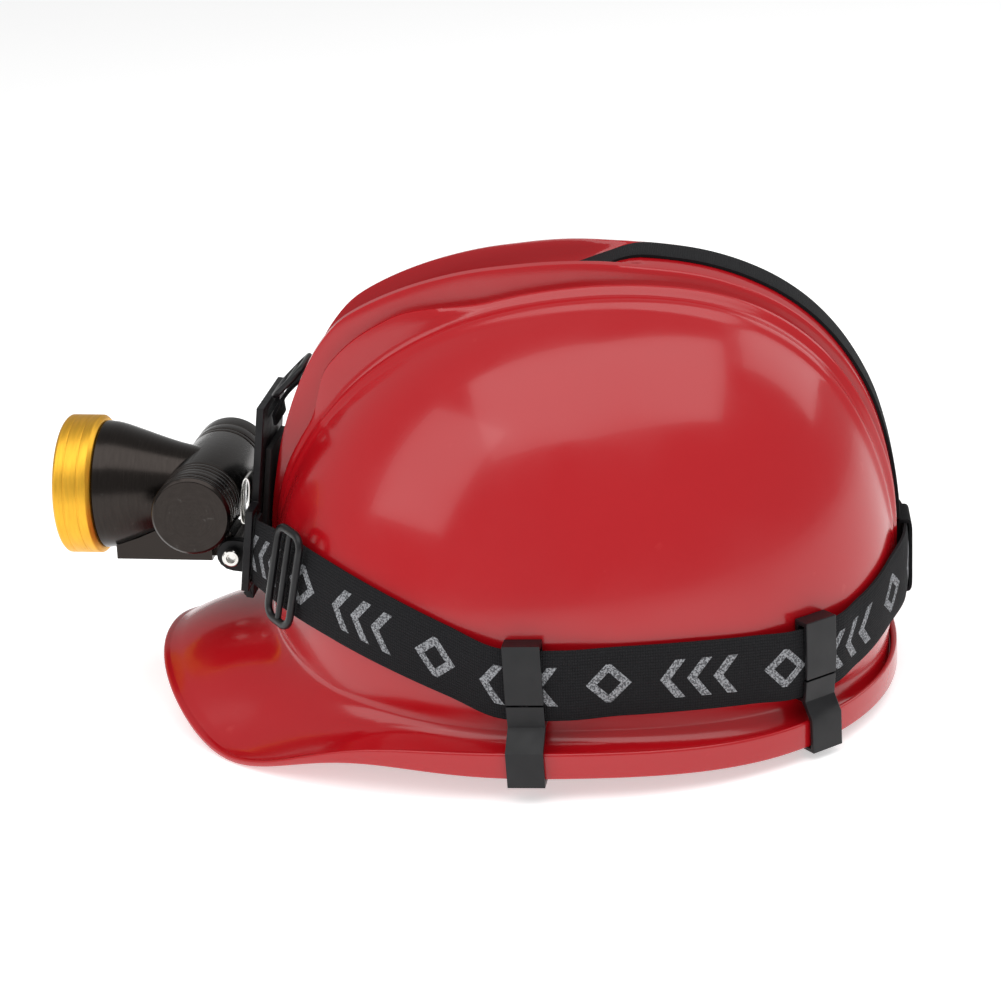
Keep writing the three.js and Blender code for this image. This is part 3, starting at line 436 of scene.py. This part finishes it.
RED = red_plastic()
STRAP_WEAVE = webbing("elastic_webbing", 0.0011, motif=True)
PLAIN_WEAVE = webbing("plain_webbing", 0.0011)
SATIN = plain_plastic("satin_black_plastic", (0.007, 0.007, 0.008), 0.28, 0.44,
                      Specular_IOR_Level=0.35)
TEXTURED = plain_plastic("textured_black_plastic", (0.005, 0.005, 0.006), 0.42, 0.6, 1300, 0.00006,
                         Specular_IOR_Level=0.3)
RUBBER = plain_plastic("black_rubber", (0.013, 0.013, 0.013), 0.72, 0.88, 900, 0.00008)
INNER = plain_plastic("inner_black", (0.02, 0.02, 0.02), 0.5, 0.7)
GREY = plain_plastic("suspension_grey", (0.22, 0.23, 0.24), 0.4, 0.58, 1500, 0.00003)
KNOB = plain_plastic("knob_black", (0.016, 0.016, 0.017), 0.42, 0.6, 1500, 0.00004)
BLACK_METAL = turned_metal("black_anodised", (0.040, 0.034, 0.031), 0.17, 0.28, wear=(0.085, 0.08, 0.075))
GOLD = turned_metal("gold_anodised", (0.92, 0.50, 0.05), 0.36, 0.52, 7000, 0.000008)
SINK = turned_metal("machined_aluminium", (0.72, 0.72, 0.73), 0.25, 0.4)
STEEL = steel_material()
FOAM = foam_fabric()
GLASS = clear_glass()


# ---------------------------------------------------------------- helmet surface, as in the CAD
def from_front(theta):
    return abs(math.atan2(math.sin(theta), -math.cos(theta)))


def frontness(theta):
    return max(-math.cos(theta), 0.0) ** 1.5


def rise_of(theta):
    return 2.3 + 0.2 * frontness(theta) + 0.1 * max(math.cos(theta), 0.0)


def dome(theta, phi):
    """A point of the plain dome at angle theta from the rear and latitude phi."""
    c, s = math.cos(theta), math.sin(theta)
    rise = rise_of(theta)
    reach = max(math.cos(phi), 0.0) ** (2 / rise)
    z = DOME_HEIGHT * max(math.sin(phi), 0.0) ** (2 / rise)
    taper = 1 - 0.06 * clamp01(1 - z / 60) ** 2
    length = DOME_REAR if c > 0 else DOME_FRONT
    back = 20 * (z / DOME_HEIGHT) ** (2.2 + 0.8 * frontness(theta))
    return Vector((length * power(c, 2 / 2.2) * reach * taper + back,
                   DOME_HALF_WIDTH * power(s, 2 / 2.2) * reach * taper, z))


def latitude(theta, z):
    return math.asin((z / DOME_HEIGHT) ** (rise_of(theta) / 2))


def dome_normal(theta, phi, step=1e-3):
    across = dome(theta + step, phi) - dome(theta - step, phi)
    up = dome(theta, phi + step) - dome(theta, phi - step)
    return across.cross(up).normalized()


def fold_height(theta):
    return 12 + 20 * bell(from_front(theta), 0, 0.8) - 2 * smooth(0, 0.7, math.cos(theta))


def rim_edge(theta):
    c, s = math.cos(theta), math.sin(theta)
    a = from_front(theta)
    z = 3.5 * bell(a, 1.15, 0.22) - 9 * bell(a, 0.7, 0.26) + 14 * bell(a, 0, 0.42) - 3.5 * smooth(0, 0.7, c)
    reach = RIM_REAR if c > 0 else RIM_FRONT
    return Vector((reach * power(c, 2 / 2.15), RIM_HALF_WIDTH * power(s, 2 / 2.15), z))


def over_angle(p):
    """Angle of a point seen from the side: 0 at the front, 90 at the crown, 180 at the rear."""
    return math.degrees(math.atan2(p.z - 40, -(p.x - 5)))


def crest_table(over):
    for (a, low), (b, high) in zip(CREST, CREST[1:]):
        if a <= over < b:
            return low + (high - low) * (over - a) / (b - a)
    return 0.0


def crest_height(over):
    """The crest table with its corners eased."""
    return sum(weight * crest_table(over + shift) for shift, weight in
               ((-3, 0.1), (-1.5, 0.2), (0, 0.4), (1.5, 0.2), (3, 0.1)))


def valley_depth(over):
    """One where the valley between the crests is open, at the front, and 0 where it has closed."""
    return 1 - smooth(90, 104, over)


def crest(offset, over):
    valley = 1 - valley_depth(over) * (1 - smooth(14, 15.8, offset))
    shelf = 0.5 * smooth(32, 44, over) * smooth(76, 58, over)
    flank = 1 - (1 - shelf) * smooth(18.6, 21, offset) - shelf * smooth(25, 30, offset)
    rolls = smooth(5, 25, over) * smooth(182, 160, over)
    lower = 3.2 * bell(offset, 25.5, 2.7) + 1.4 * bell(offset, 32.5, 3)
    return crest_height(over) * valley * flank + rolls * lower


def offset_of(v):
    """Distance across the helmet, at its crown, of the grid line v."""
    return DOME_HALF_WIDTH * math.sin(1.52 * abs(v)) ** 0.87


def line_at(offset):
    return math.asin((offset / DOME_HALF_WIDTH) ** (1 / 0.87)) / 1.52


def disc(u, v):
    """Angle and distance from the middle of a point of the square, once it is bent into a disc."""
    p, q = u * math.sqrt(1 - v * v / 2), v * math.sqrt(1 - u * u / 2)
    return math.atan2(q, p), min(max(math.hypot(p, q), 1e-4), 1.0)


def shell_point(u, v, inward):
    theta, distance = disc(u, v)
    foot = latitude(theta, fold_height(theta) + (1.5 if inward else 0))
    phi = math.pi / 2 - (math.pi / 2 - foot) * distance
    base = dome(theta, phi)
    height = crest(offset_of(v), over_angle(base))
    out = 0.6 * height - WALL if inward else height
    return base + dome_normal(theta, min(phi, math.pi / 2 - 2e-3)) * out


def bezier(points, t):
    a, b, c, d = points
    s = 1 - t
    place = s ** 3 * a + 3 * s * s * t * b + 3 * s * t * t * c + t ** 3 * d
    slope = 3 * (s * s * (b - a) + 2 * s * t * (c - b) + t * t * (d - c))
    return place, slope


def skirt(theta, start):
    """Points of the peak or gutter, from under the outer sheet, round the rim, to under the inner sheet."""
    edge = rim_edge(theta)
    out = Vector((edge.x - start.x, edge.y - start.y, 0))
    reach = out.length
    out.normalize()

    def at(inset, up):
        return edge - out * inset + Vector((0, 0, up))

    lip = 2.5 + 7.5 * smooth(0.85, 1.5, from_front(theta))
    floor = 2.5 + 4 * smooth(0.85, 1.5, from_front(theta))
    foot = at(RIM_LIP, floor)
    drop = Vector((0, 0, -max(5, 0.42 * (start.z - foot.z)))) + out * 0.12 * reach
    lift = Vector((0, 0, 12 * bell(from_front(theta), 0, 0.9))) - out * 0.45 * reach
    curve = (start, start + drop, foot + lift, foot)
    upper = [bezier(curve, t)[0] for t in spread(0, 1, 15)[1:]]
    section = [(RIM_LIP, floor), (RIM_LIP - 0.6, lip), (-0.3, lip), (-0.3, 0), (RIM_LIP, 0)]
    rim = [at(*p) for p in rounded(section, 1.1)]
    under = []
    for t in spread(0.94, 0.1, 9):
        p, slope = bezier(curve, t)
        normal = (out * slope.z + Vector((0, 0, -slope.dot(out)))).normalized()
        under.append(p + normal * 2.5)
    return [*upper, *rim[1:], at(RIM_LIP + 0.8, max(floor - 2.5, 0.4)), *under]


def helmet_shell():
    along = spread(-1, 1, SHELL_ROWS + 1)
    offsets = (4, 8, 11, *spread(13.6, 16.2, 8), 17, 18, *spread(18.6, 21, 6), *spread(21.8, 38, 18))
    near = [line_at(x) for x in offsets]
    half = near + spread(near[-1], 1, SHELL_COLUMNS)[1:]
    across = [-v for v in reversed(half)] + [0.0] + half
    rows, last = len(along) - 1, len(across) - 1
    points, faces = [], []
    sheets = []
    for inward in (False, True):
        grid = []
        for u in along:
            grid.append(range(len(points), len(points) + len(across)))
            points.extend(shell_point(u, v, inward) for v in across)
        sheets.append(grid)
        for i in range(rows):
            for j in range(last):
                faces.append((grid[i][j], grid[i + 1][j], grid[i + 1][j + 1], grid[i][j + 1]))
    outer, inner = sheets
    border = [(0, j) for j in range(last)] + [(i, last) for i in range(rows)]
    border += [(rows, j) for j in range(last, 0, -1)] + [(i, 0) for i in range(rows, 0, -1)]
    columns = []
    for i, j in border:
        theta = disc(along[i], across[j])[0]
        made = skirt(theta, points[outer[i][j]])
        columns.append([outer[i][j], *range(len(points), len(points) + len(made)), inner[i][j]])
        points.extend(made)
    for here, there in zip(columns, columns[1:] + columns[:1]):
        for r in range(len(here) - 1):
            faces.append((here[r], there[r], there[r + 1], here[r + 1]))
    obj = new_object("helmet_shell_moulded", points, faces, LAYOUT)
    return finish_piece(obj, "helmet", RED, ["helmet_shell"], 55)


# ---------------------------------------------------------------- places on the helmet wall
def theta_at(angle, side):
    """side is -1 for the wearer's left; angle is in degrees from the front."""
    return math.pi - side * math.radians(angle)


def wall_point(angle, side, z, standoff):
    theta = theta_at(angle, side)
    phi = latitude(theta, z)
    return dome(theta, phi) + dome_normal(theta, phi) * standoff


def strap_height(angle):
    ahead = HOOK_ANGLES[0] - 4 - angle
    soft = 0.5 * (ahead + math.sqrt(ahead * ahead + 6))
    ahead_part = 32 + 0.95 * soft - 0.0085 * soft * soft
    return ahead_part - 3.5 * bell(angle, 132, 18) + 8 * smooth(142, 175, angle)


def strap_standoff(angle):
    over_hook = sum(smooth(13, 5, abs(angle - a)) for a in HOOK_ANGLES)
    return 1.2 + 2.2 * over_hook + 1.9 * smooth(160, 172, angle) + 1.6 * smooth(48, 26, angle)


def bracket_point(x, y, z):
    """A point of the bracket's own frame, in the layout frame."""
    return LAYOUT.inverted() @ BRACKET_FRAME @ Vector((x, y, z))


def strap_rows(places, width, thick, columns=11, bulge=0.18):
    """Rows round a flat strap. Each place turns an offset across the strap into (point, outward)."""
    rows, uvs = [], []
    run, last = 0.0, None
    for place in places:
        middle = place(0.0)[0]
        if last is not None:
            run += (middle - last).length
        last = middle
        under, over = [], []
        for w in spread(-0.5, 0.5, columns):
            point, outward = place(w * width)
            thin = bulge * thick * (2 * abs(w)) ** 6
            under.append(point + outward * thin)
            over.append(point + outward * (thick - thin))
        rows.append(under + over[::-1])
        across = [(w + 0.5) * width * 0.001 for w in spread(-0.5, 0.5, columns)]
        uvs.extend([(run * 0.001, v) for v in across + across[::-1]])
    return rows, uvs, run


def strap_piece(name, places, width, thick, material, replaces=()):
    rows, uvs, run = strap_rows(places, width, thick)
    points, faces = loft(rows)
    obj = new_object(name, points, faces, LAYOUT, uvs)
    finish_piece(obj, "helmet", material, replaces, 50)
    return obj


def on_wall(angle, side):
    def place(w):
        z = strap_height(angle) + w
        point = wall_point(angle, side, z, strap_standoff(angle))
        theta = theta_at(angle, side)
        return point, dome_normal(theta, latitude(theta, z))
    return place


def along_path(points, across, flip=1):
    """Places along a path of points whose strap lies across a fixed direction."""
    places = []
    for k, point in enumerate(points):
        run = points[min(k + 1, len(points) - 1)] - points[max(k - 1, 0)]
        outward = (run.cross(across) * flip).normalized()
        places.append(lambda w, p=point, o=outward: (p + across * w, o))
    return places


STRAP_START = 29.5


def behind_wing(side, y):
    def place(w):
        point = bracket_point(5.2, side * y, -3.5 + STRAP_WIDTH / 2 + w)
        return point, bracket_point(4.2, 0, 0) - bracket_point(5.2, 0, 0)
    return place


def headband_strap():
    left = [behind_wing(-1, y) for y in (23, 27, 31)]
    right = [behind_wing(1, y) for y in (31, 27, 23)]
    angles = spread(STRAP_START, 178, 100)
    wall = [on_wall(a, -1) for a in angles] + [on_wall(180, -1)]
    wall += [on_wall(a, 1) for a in reversed(angles)]
    strap_piece("headband_elastic", left + wall + right, STRAP_WIDTH, STRAP_THICK, STRAP_WEAVE,
                replaces=["headband_strap"])


def crown_point(over):
    """The point of the valley floor at an angle seen from the side, with its normal."""
    low, high = 0.02, math.pi - 0.02
    for _ in range(40):
        middle = (low + high) / 2
        p = dome(math.pi, middle) if middle < math.pi / 2 else dome(0, math.pi - middle)
        if over_angle(p) < over:
            low = middle
        else:
            high = middle

    def at(t):
        return dome(math.pi, t) if t < math.pi / 2 else dome(0, math.pi - t)

    ahead = at(low + 1e-3) - at(low - 1e-3)
    normal = Vector((-ahead.z, 0, ahead.x)).normalized()
    lift = crest_height(over) * (1 - valley_depth(over)) + 1.1
    return at(low) + normal * lift


def top_strap():
    start = [bracket_point(4.8, 0, 54), bracket_point(4.8, 0, 61), Vector((-97, 0, 123))]
    path = spline(start + [crown_point(over) for over in (*range(60, 169, 6), 172.6)], 150)
    places = along_path(path, Vector((0, 1, 0)), -1)
    strap_piece("top_elastic", places, TOP_STRAP_WIDTH, STRAP_THICK, PLAIN_WEAVE,
                replaces=["top_strap"])


def rear_loop():
    """A short webbing loop that joins the top strap to the headband strap."""
    middle = strap_height(180)
    lean = [wall_point(180, 1, middle + z, 0).x for z in (-14.8, 14.8)]
    rows = []
    for k in range(48):
        a = 2 * math.pi * k / 48
        z = 14.15 * power(math.sin(a), 0.25)
        depth = 3.55 + 2.4 * power(math.cos(a), 0.4)
        x = lean[0] + (lean[1] - lean[0]) * (z + 14.8) / 29.6 + depth
        rows.append(Vector((x, 0, middle + z)))
    sections, uvs = [], []
    for k, p in enumerate(rows):
        run = rows[(k + 1) % 48] - rows[k - 1]
        outward = Vector((run.z, 0, -run.x)).normalized()
        row = []
        for w, out in [(-9, -0.6), (0, -0.6), (9, -0.6), (9, 0.6), (0, 0.6), (-9, 0.6)]:
            row.append(p + Vector((0, w, 0)) + outward * out)
            uvs.append((k * 0.0016, (w + 9) * 0.001))
        sections.append(row)
    points, faces = loft(sections, loop=True)
    obj = new_object("rear_webbing_loop", points, faces, LAYOUT, uvs)
    finish_piece(obj, "helmet", PLAIN_WEAVE, ["rear_strap_loop"], 50)


# ---------------------------------------------------------------- buckles
def buckle(name, cad_node, half_length, half_height):
    """A tri-glide: a rounded frame and its middle bar, fitted to the place of its CAD node."""
    centre, axes = node_axes(cad_node)
    tube, outline = [], []
    corner = 5
    a, b = half_length - 1.6, half_height - 1.7
    corners = ((a - corner, b - corner, 0), (corner - a, b - corner, 90),
               (corner - a, corner - b, 180), (a - corner, corner - b, 270))
    for cx, cy, start in corners:
        for step in spread(0, 90, 8):
            t = math.radians(start + step)
            outline.append((Vector((cx + corner * math.cos(t), cy + corner * math.sin(t), 0)),
                            Vector((math.cos(t), math.sin(t), 0))))
    for point, outward in outline:
        row = []
        for k in range(12):
            t = 2 * math.pi * k / 12
            up = Vector((0, 0, 1.25 * power(math.sin(t), 0.75)))
            row.append(point + outward * 1.65 * power(math.cos(t), 0.75) + up)
        tube.append(row)
    points, faces = loft(tube, loop=True)
    rows = []
    for y in spread(-b, b, 9):
        rows.append([Vector((1.5 * power(math.cos(2 * math.pi * k / 12), 0.8), y,
                             1.0 * power(math.sin(2 * math.pi * k / 12), 0.8))) for k in range(12)])
    more, sides = loft(rows)
    faces += [tuple(i + len(points) for i in f) for f in sides]
    points += more
    space = Matrix.Translation(centre) @ axes.to_4x4() @ Matrix.Scale(0.001, 4)
    obj = new_object(name, points, faces, space)
    return finish_piece(obj, "helmet", SATIN, [cad_node], 60)


def node_axes(node):
    """The middle of a flat CAD node, and its axes: short side, long side, thickness."""
    co = np.array([v.co for v in NODES[node].data.vertices])
    flat = co - (co.max(0) + co.min(0)) / 2
    values, vectors = np.linalg.eigh(flat.T @ flat)
    z, x, y = (Vector(vectors[:, k]) for k in range(3))
    if y.z < 0:
        y = -y
    if x.dot(Vector((1, 0, 0))) < 0:
        x = -x
    z = x.cross(y)
    spans = [(co @ np.array(axis)) for axis in (x, y, z)]
    centre = sum((axis * float((s.max() + s.min()) / 2) for axis, s in zip((x, y, z), spans)), Vector())
    return centre, Matrix((x, y, z)).transposed()


# ---------------------------------------------------------------- lamp
HORN = [(-1, 14.8), (-4, 15.2), (-12, 16.9), (-20, 19.3), (-28, 22), (-36, 24.5), (-41.5, 25.3)]


def grooved(start, end, radius, grooves, depth=0.9, half=0.55):
    """Profile points along a round from start to end with V-bottomed grooves at the given places."""
    out = [(start, radius)]
    for g in sorted(grooves, reverse=end < start):
        s = -half if end > start else half
        out += [(g + s, radius), (g + 0.6 * s, radius - depth)]
        out += [(g - 0.6 * s, radius - depth), (g - s, radius)]
    return out + [(end, radius)]


def lamp_housing():
    flare = [(p.x, p.y) for p in spline([(x, r, 0) for x, r in HORN], 30)]
    horn_profile = [(4, 0), (4, 13), *flare, (-41.9, 25.1), (-42.0, 24.3), (-50, 24.3), (-50, 0)]
    horn = turned("lamp_body", horn_profile, "x", 128)
    near, far = TUBE_NEAR + 9.3, TUBE_FAR - 10.3
    outside = grooved(near, far, TUBE_RADIUS, [-24.5, -21.5, -18.5, 22, 25])
    tube = turned("tube", rounded([(near, 0), *outside, (far, 0)], 0.3), "y", 128)
    optics = turned("optics", [(-52, 0), (-52, 22.3), (-38.6, 22.3), (-30, 18.6), (-25, 17),
                               (-16.2, 17), (-16.2, 0)])
    bore = turned("bore", [(TUBE_NEAR, 0), (TUBE_NEAR, TUBE_BORE), (TUBE_FAR, TUBE_BORE),
                           (TUBE_FAR, 0)], "y")
    combine(horn, "UNION", tube)
    combine(horn, "DIFFERENCE", optics)
    combine(horn, "DIFFERENCE", bore)
    finish_piece(horn, "lamp", BLACK_METAL, ["lamp_housing"], 30)


def tube_cup(name, node, body, mouth, end, hole, grooves):
    s = math.copysign(1, end - mouth)
    floor = end - s * 2.5
    outside = grooved(mouth, end, TUBE_RADIUS, grooves)[:-1]
    profile = [(mouth, TUBE_BORE), *outside, (end - s * 1.2, TUBE_RADIUS), (end, TUBE_RADIUS - 1.2),
               (end, hole), (floor, hole), (floor, TUBE_BORE)]
    if hole:
        profile.append(profile[0])
    obj = turned(name, rounded(profile, 0.25), "y", 128)
    finish_piece(obj, body, BLACK_METAL, [node], 30)


def bezel_ring():
    ribs = grooved(-43.8, -56, 27.5, [-47.2, -52.6], 0.12, 0.3)
    profile = [(-42.2, 24.75), (-42.2, 25.9), *ribs, (-57, 26.5), (-57, 22.2), (-55.4, 21), (-54, 21),
               (-54, 24.75), (-42.2, 24.75)]
    ring = turned("bezel_knurled", rounded(profile, 0.3), "x", 160)
    finish_piece(ring, "bezel_ring", GOLD, ["bezel"], 35)


def lens_dome():
    arc = [(-48.1 - 8 * math.cos(a), 18.6 * math.sin(a)) for a in spread(0, math.pi / 2, 24)]
    profile = [*arc, (-48.1, 19.4), (-46.5, 19.4), (-46.5, 0)]
    finish_piece(turned("lens_dome", profile, "x", 96), "lens_carriage", GLASS, ["lens"], 50)


def socket_bolt():
    pivot = (LAMP_FRAME @ Vector((PIVOT[0], 0, PIVOT[1]))) * 1000 - Vector((34.5, 0, 7.6))
    profile = [(-14.2, 0), (-14.2, 1.75), (-16.05, 1.75), (-16.3, 1.9), (-16.3, 3.0), (-15.9, 3.5),
               (-12.75, 3.5), (-12.75, 2.0), (16.1, 2.0), (16.4, 1.7), (16.4, 0)]
    obj = turned("tilt_bolt_socket", profile, "y", 48, LAYOUT, pivot, hexed=(1, 2))
    finish_piece(obj, "helmet", STEEL, ["tilt_bolt"], 35)


def spring_loop():
    """The polished leaf bent into a flat loop beside the tube."""
    rows = []
    for k in range(72):
        a = 2 * math.pi * k / 72
        x = -2.1 + 1.45 * power(math.cos(a), 0.8)
        rows.append(Vector((x, 0, 26.5 + 9.2 * power(math.sin(a), 0.6))))
    sections = []
    for k, p in enumerate(rows):
        run = rows[(k + 1) % 72] - rows[k - 1]
        outward = Vector((run.z, 0, -run.x)).normalized()
        sections.append([p + Vector((0, y, 0)) + outward * o for y, o in
                         [(-23, -0.2), (-22.8, -0.3), (-14.2, -0.3), (-14, -0.2), (-14, 0.2), (-14.2, 0.3),
                          (-22.8, 0.3), (-23, 0.2)]])
    points, faces = loft(sections, loop=True)
    finish_piece(new_object("detent_leaf", points, faces, BRACKET_FRAME), "helmet", STEEL,
                 ["detent_spring"], 60)


# ---------------------------------------------------------------- suspension
def band_point(angle, standoff, z):
    a = math.pi - angle
    return Vector(((BAND_HALF_LENGTH + standoff) * power(math.cos(a), 0.95),
                   (BAND_HALF_WIDTH + standoff) * power(math.sin(a), 0.95), z))


def suspension_band():
    section = [(0.1, BAND_LOW + 0.4), (0.1, BAND_HIGH - 0.4), (0.6, BAND_HIGH), (1.1, BAND_HIGH),
               (1.5, BAND_HIGH - 0.5), (1.5, BAND_HIGH - 4), (1.1, BAND_HIGH - 4.6), (1.1, BAND_LOW + 4.6),
               (1.5, BAND_LOW + 4), (1.5, BAND_LOW + 0.5), (1.1, BAND_LOW), (0.6, BAND_LOW)]
    rows = []
    for k in range(180):
        a = 2 * math.pi * k / 180
        rows.append([band_point(a, out, z) for out, z in section])
    points, faces = loft(rows, loop=True)
    finish_piece(new_object("suspension_band", points, faces, LAYOUT), "helmet", GREY,
                 ["suspension_headband"], 50)


def brow_pad():
    """A padded sweatband: full in the middle, drawn in at its edges, with a sewn channel near each edge."""
    rows = []
    low, high = BAND_LOW - 1, BAND_HIGH + 2
    middle, half = (low + high) / 2, (high - low) / 2
    for k in range(97):
        t = -1 + 2 * k / 96
        a = t * 54 * math.pi / 180
        end = (1 - abs(t) ** 14) ** 0.5 if abs(t) < 1 else 0.15
        end = max(end, 0.15)
        row = []
        for j in range(28):
            b = 2 * math.pi * j / 28
            z = middle + half * power(math.sin(b), 0.6) * (0.75 + 0.25 * end)
            seam = 1 - 0.3 * bell(abs(z - middle), half * 0.72, 1.0)
            ripple = 1 + 0.06 * noise.noise(Vector((t * 12, b, 0.3)))
            depth = 2.0 * power(math.cos(b), 0.5) * end * seam * ripple
            row.append(band_point(a, -3.0 + depth, z))
        rows.append(row)
    points, faces = loft(rows)
    obj = new_object("brow_pad_sewn", points, faces, LAYOUT)
    finish_piece(obj, "helmet", FOAM, ["brow_pad"], 60)


KEY_ANGLES = (32, 90, 146)


def crown_strap(name, node, angle, apex):
    """A webbing strap from one key, over the head, to the opposite key."""
    key_top = 48
    ends = []
    for a, side in ((angle, -1), (180 - angle, 1)):
        nearest = min(KEY_ANGLES, key=lambda q: abs(q - a))
        p = wall_point(nearest, side, key_top, -WALL - 5)
        ends.append(Vector((p.x, p.y, key_top + 0.35)))
    run = ends[1] - ends[0]
    across = Vector((-run.y, run.x, 0)).normalized()
    places = []
    for s in spread(0, math.pi, 61):
        p = ends[0] + run * (1 - math.cos(s)) / 2
        p.z = key_top + 0.35 + (apex - key_top) * math.sin(s) ** 1.3
        slope = run * (math.sin(s) + 0.02)
        slope.z = (apex - key_top) * 2 * math.cos(s)
        normal = across.cross(slope).normalized()
        if normal.z < 0:
            normal.negate()
        places.append(lambda w, p=p, o=normal: (p + across * w, o))
    strap_piece(name, places, 18, 1.2, PLAIN_WEAVE, replaces=[node])


# ---------------------------------------------------------------- stage
def camera():
    """The photograph's viewpoint: low on the wearer's left, a little to the rear, slightly rolled."""
    right = Vector((0.9918, 0.1042, -0.0740)).normalized()
    ahead = Vector((-0.1230, 0.9346, -0.3338)).normalized()
    up = right.cross(ahead).normalized()
    right = ahead.cross(up)
    data = bpy.data.cameras.new("camera")
    data.lens, data.sensor_width = 80.92, 36
    data.clip_start, data.clip_end = 0.05, 50
    obj = bpy.data.objects.new("camera", data)
    bpy.context.scene.collection.objects.link(obj)
    turn = Matrix((right, up, -ahead)).transposed().to_4x4()
    obj.matrix_world = Matrix.Translation((0.1146, -0.8242, 0.3669)) @ turn
    bpy.context.scene.camera = obj


def area_light(name, place, target, size, energy, color=(1, 1, 1)):
    data = bpy.data.lights.new(name, "AREA")
    data.shape = "RECTANGLE"
    data.size, data.size_y = size
    data.energy = energy
    data.color = color
    obj = bpy.data.objects.new(name, data)
    bpy.context.scene.collection.objects.link(obj)
    obj.location = place
    obj.rotation_mode = "QUATERNION"
    obj.rotation_quaternion = (Vector(target) - Vector(place)).to_track_quat("-Z", "Y")
    return obj


def stage():
    half = 12
    floor = new_object("floor", [(-half, -half, 0), (half, -half, 0), (half, half, 0), (-half, half, 0)],
                       [(0, 1, 2, 3)], Matrix.Translation((0, 0, -0.001)))
    floor.data.materials.append(pale_floor())
    world = bpy.data.worlds.new("studio")
    world.use_nodes = True
    world.node_tree.nodes["Background"].inputs["Color"].default_value = (1.0, 1.0, 1.0, 1.0)
    world.node_tree.nodes["Background"].inputs["Strength"].default_value = 0.42
    bpy.context.scene.world = world
    bpy.context.scene.view_settings.view_transform = "Standard"
    area_light("key", (0.1, -0.5, 1.5), (0, 0, 0.05), (1.9, 1.3), 13)
    area_light("side", (-1.3, -0.9, 1.2), (0, 0, 0.1), (1.2, 1.2), 7)
    area_light("rear", (1.3, 0.6, 1.1), (0.05, 0, 0.1), (1.1, 1.1), 6)


# ---------------------------------------------------------------- build
camera()
stage()
helmet_shell()
headband_strap()
top_strap()
rear_loop()
buckle("buckle_left_frame", "buckle_left", 10, 19.5)
buckle("buckle_right_frame", "buckle_right", 10, 19.5)
buckle("top_buckle_frame", "top_strap_buckle", 9, 13.75)
lamp_housing()
tube_cup("battery_cap_grooved", "battery_cap", "battery_cap", TUBE_NEAR + 9, TUBE_NEAR, 0,
         [TUBE_NEAR + 3, TUBE_NEAR + 6])
tube_cup("switch_cap_grooved", "switch_cap", "lamp", TUBE_FAR - 10, TUBE_FAR, 6.4, [])
bezel_ring()
lens_dome()
socket_bolt()
spring_loop()
suspension_band()
brow_pad()
crown_strap("crown_webbing_1", "crown_strap_1", 32, 104)
crown_strap("crown_webbing_2", "crown_strap_2", 90, 108)
crown_strap("crown_webbing_3", "crown_strap_3", 146, 112)

for hook_name in ("hook_front_left", "hook_rear_left", "hook_front_right", "hook_rear_right"):
    soften(hook_name, SATIN, 0.4, 3)
soften("bracket_plate", TEXTURED, 0.4, 3)
soften("bracket_pad", RUBBER, 0.5, 3)
soften("switch_button", RUBBER, 0.3)
soften("tilt_nut", STEEL, 0.3)
soften("cradle_screw_1", STEEL, 0.2)
soften("cradle_screw_2", STEEL, 0.2)
soften("battery_spring", STEEL, 0.15)
soften("lamp_cradle", BLACK_METAL, 0.4, 3)
soften("lens_carrier", INNER, 0.15)
soften("light_shroud", INNER, 0.15)
soften("switch_body", INNER, 0.2)
soften("heat_sink", SINK, 0.3)
soften("led_board", board("led_board_white", (0.75, 0.75, 0.72)), 0.15)
soften("driver_board", board("driver_board_green", (0.02, 0.11, 0.04)), 0.15)
soften("contact_plate", NODES["driver_board"].data.materials[0], 0.15)
soften("led_emitter", phosphor(), 0.1)
soften("battery_cell", sleeve(), 0.5, 3)
soften("nape_housing", GREY, 0.8, 3)
soften("ratchet_knob", KNOB, 0.4, 2)
for place in ("front", "middle", "rear"):
    for side_name in ("left", "right"):
        soften(f"suspension_key_{place}_{side_name}", GREY, 0.5, 2)
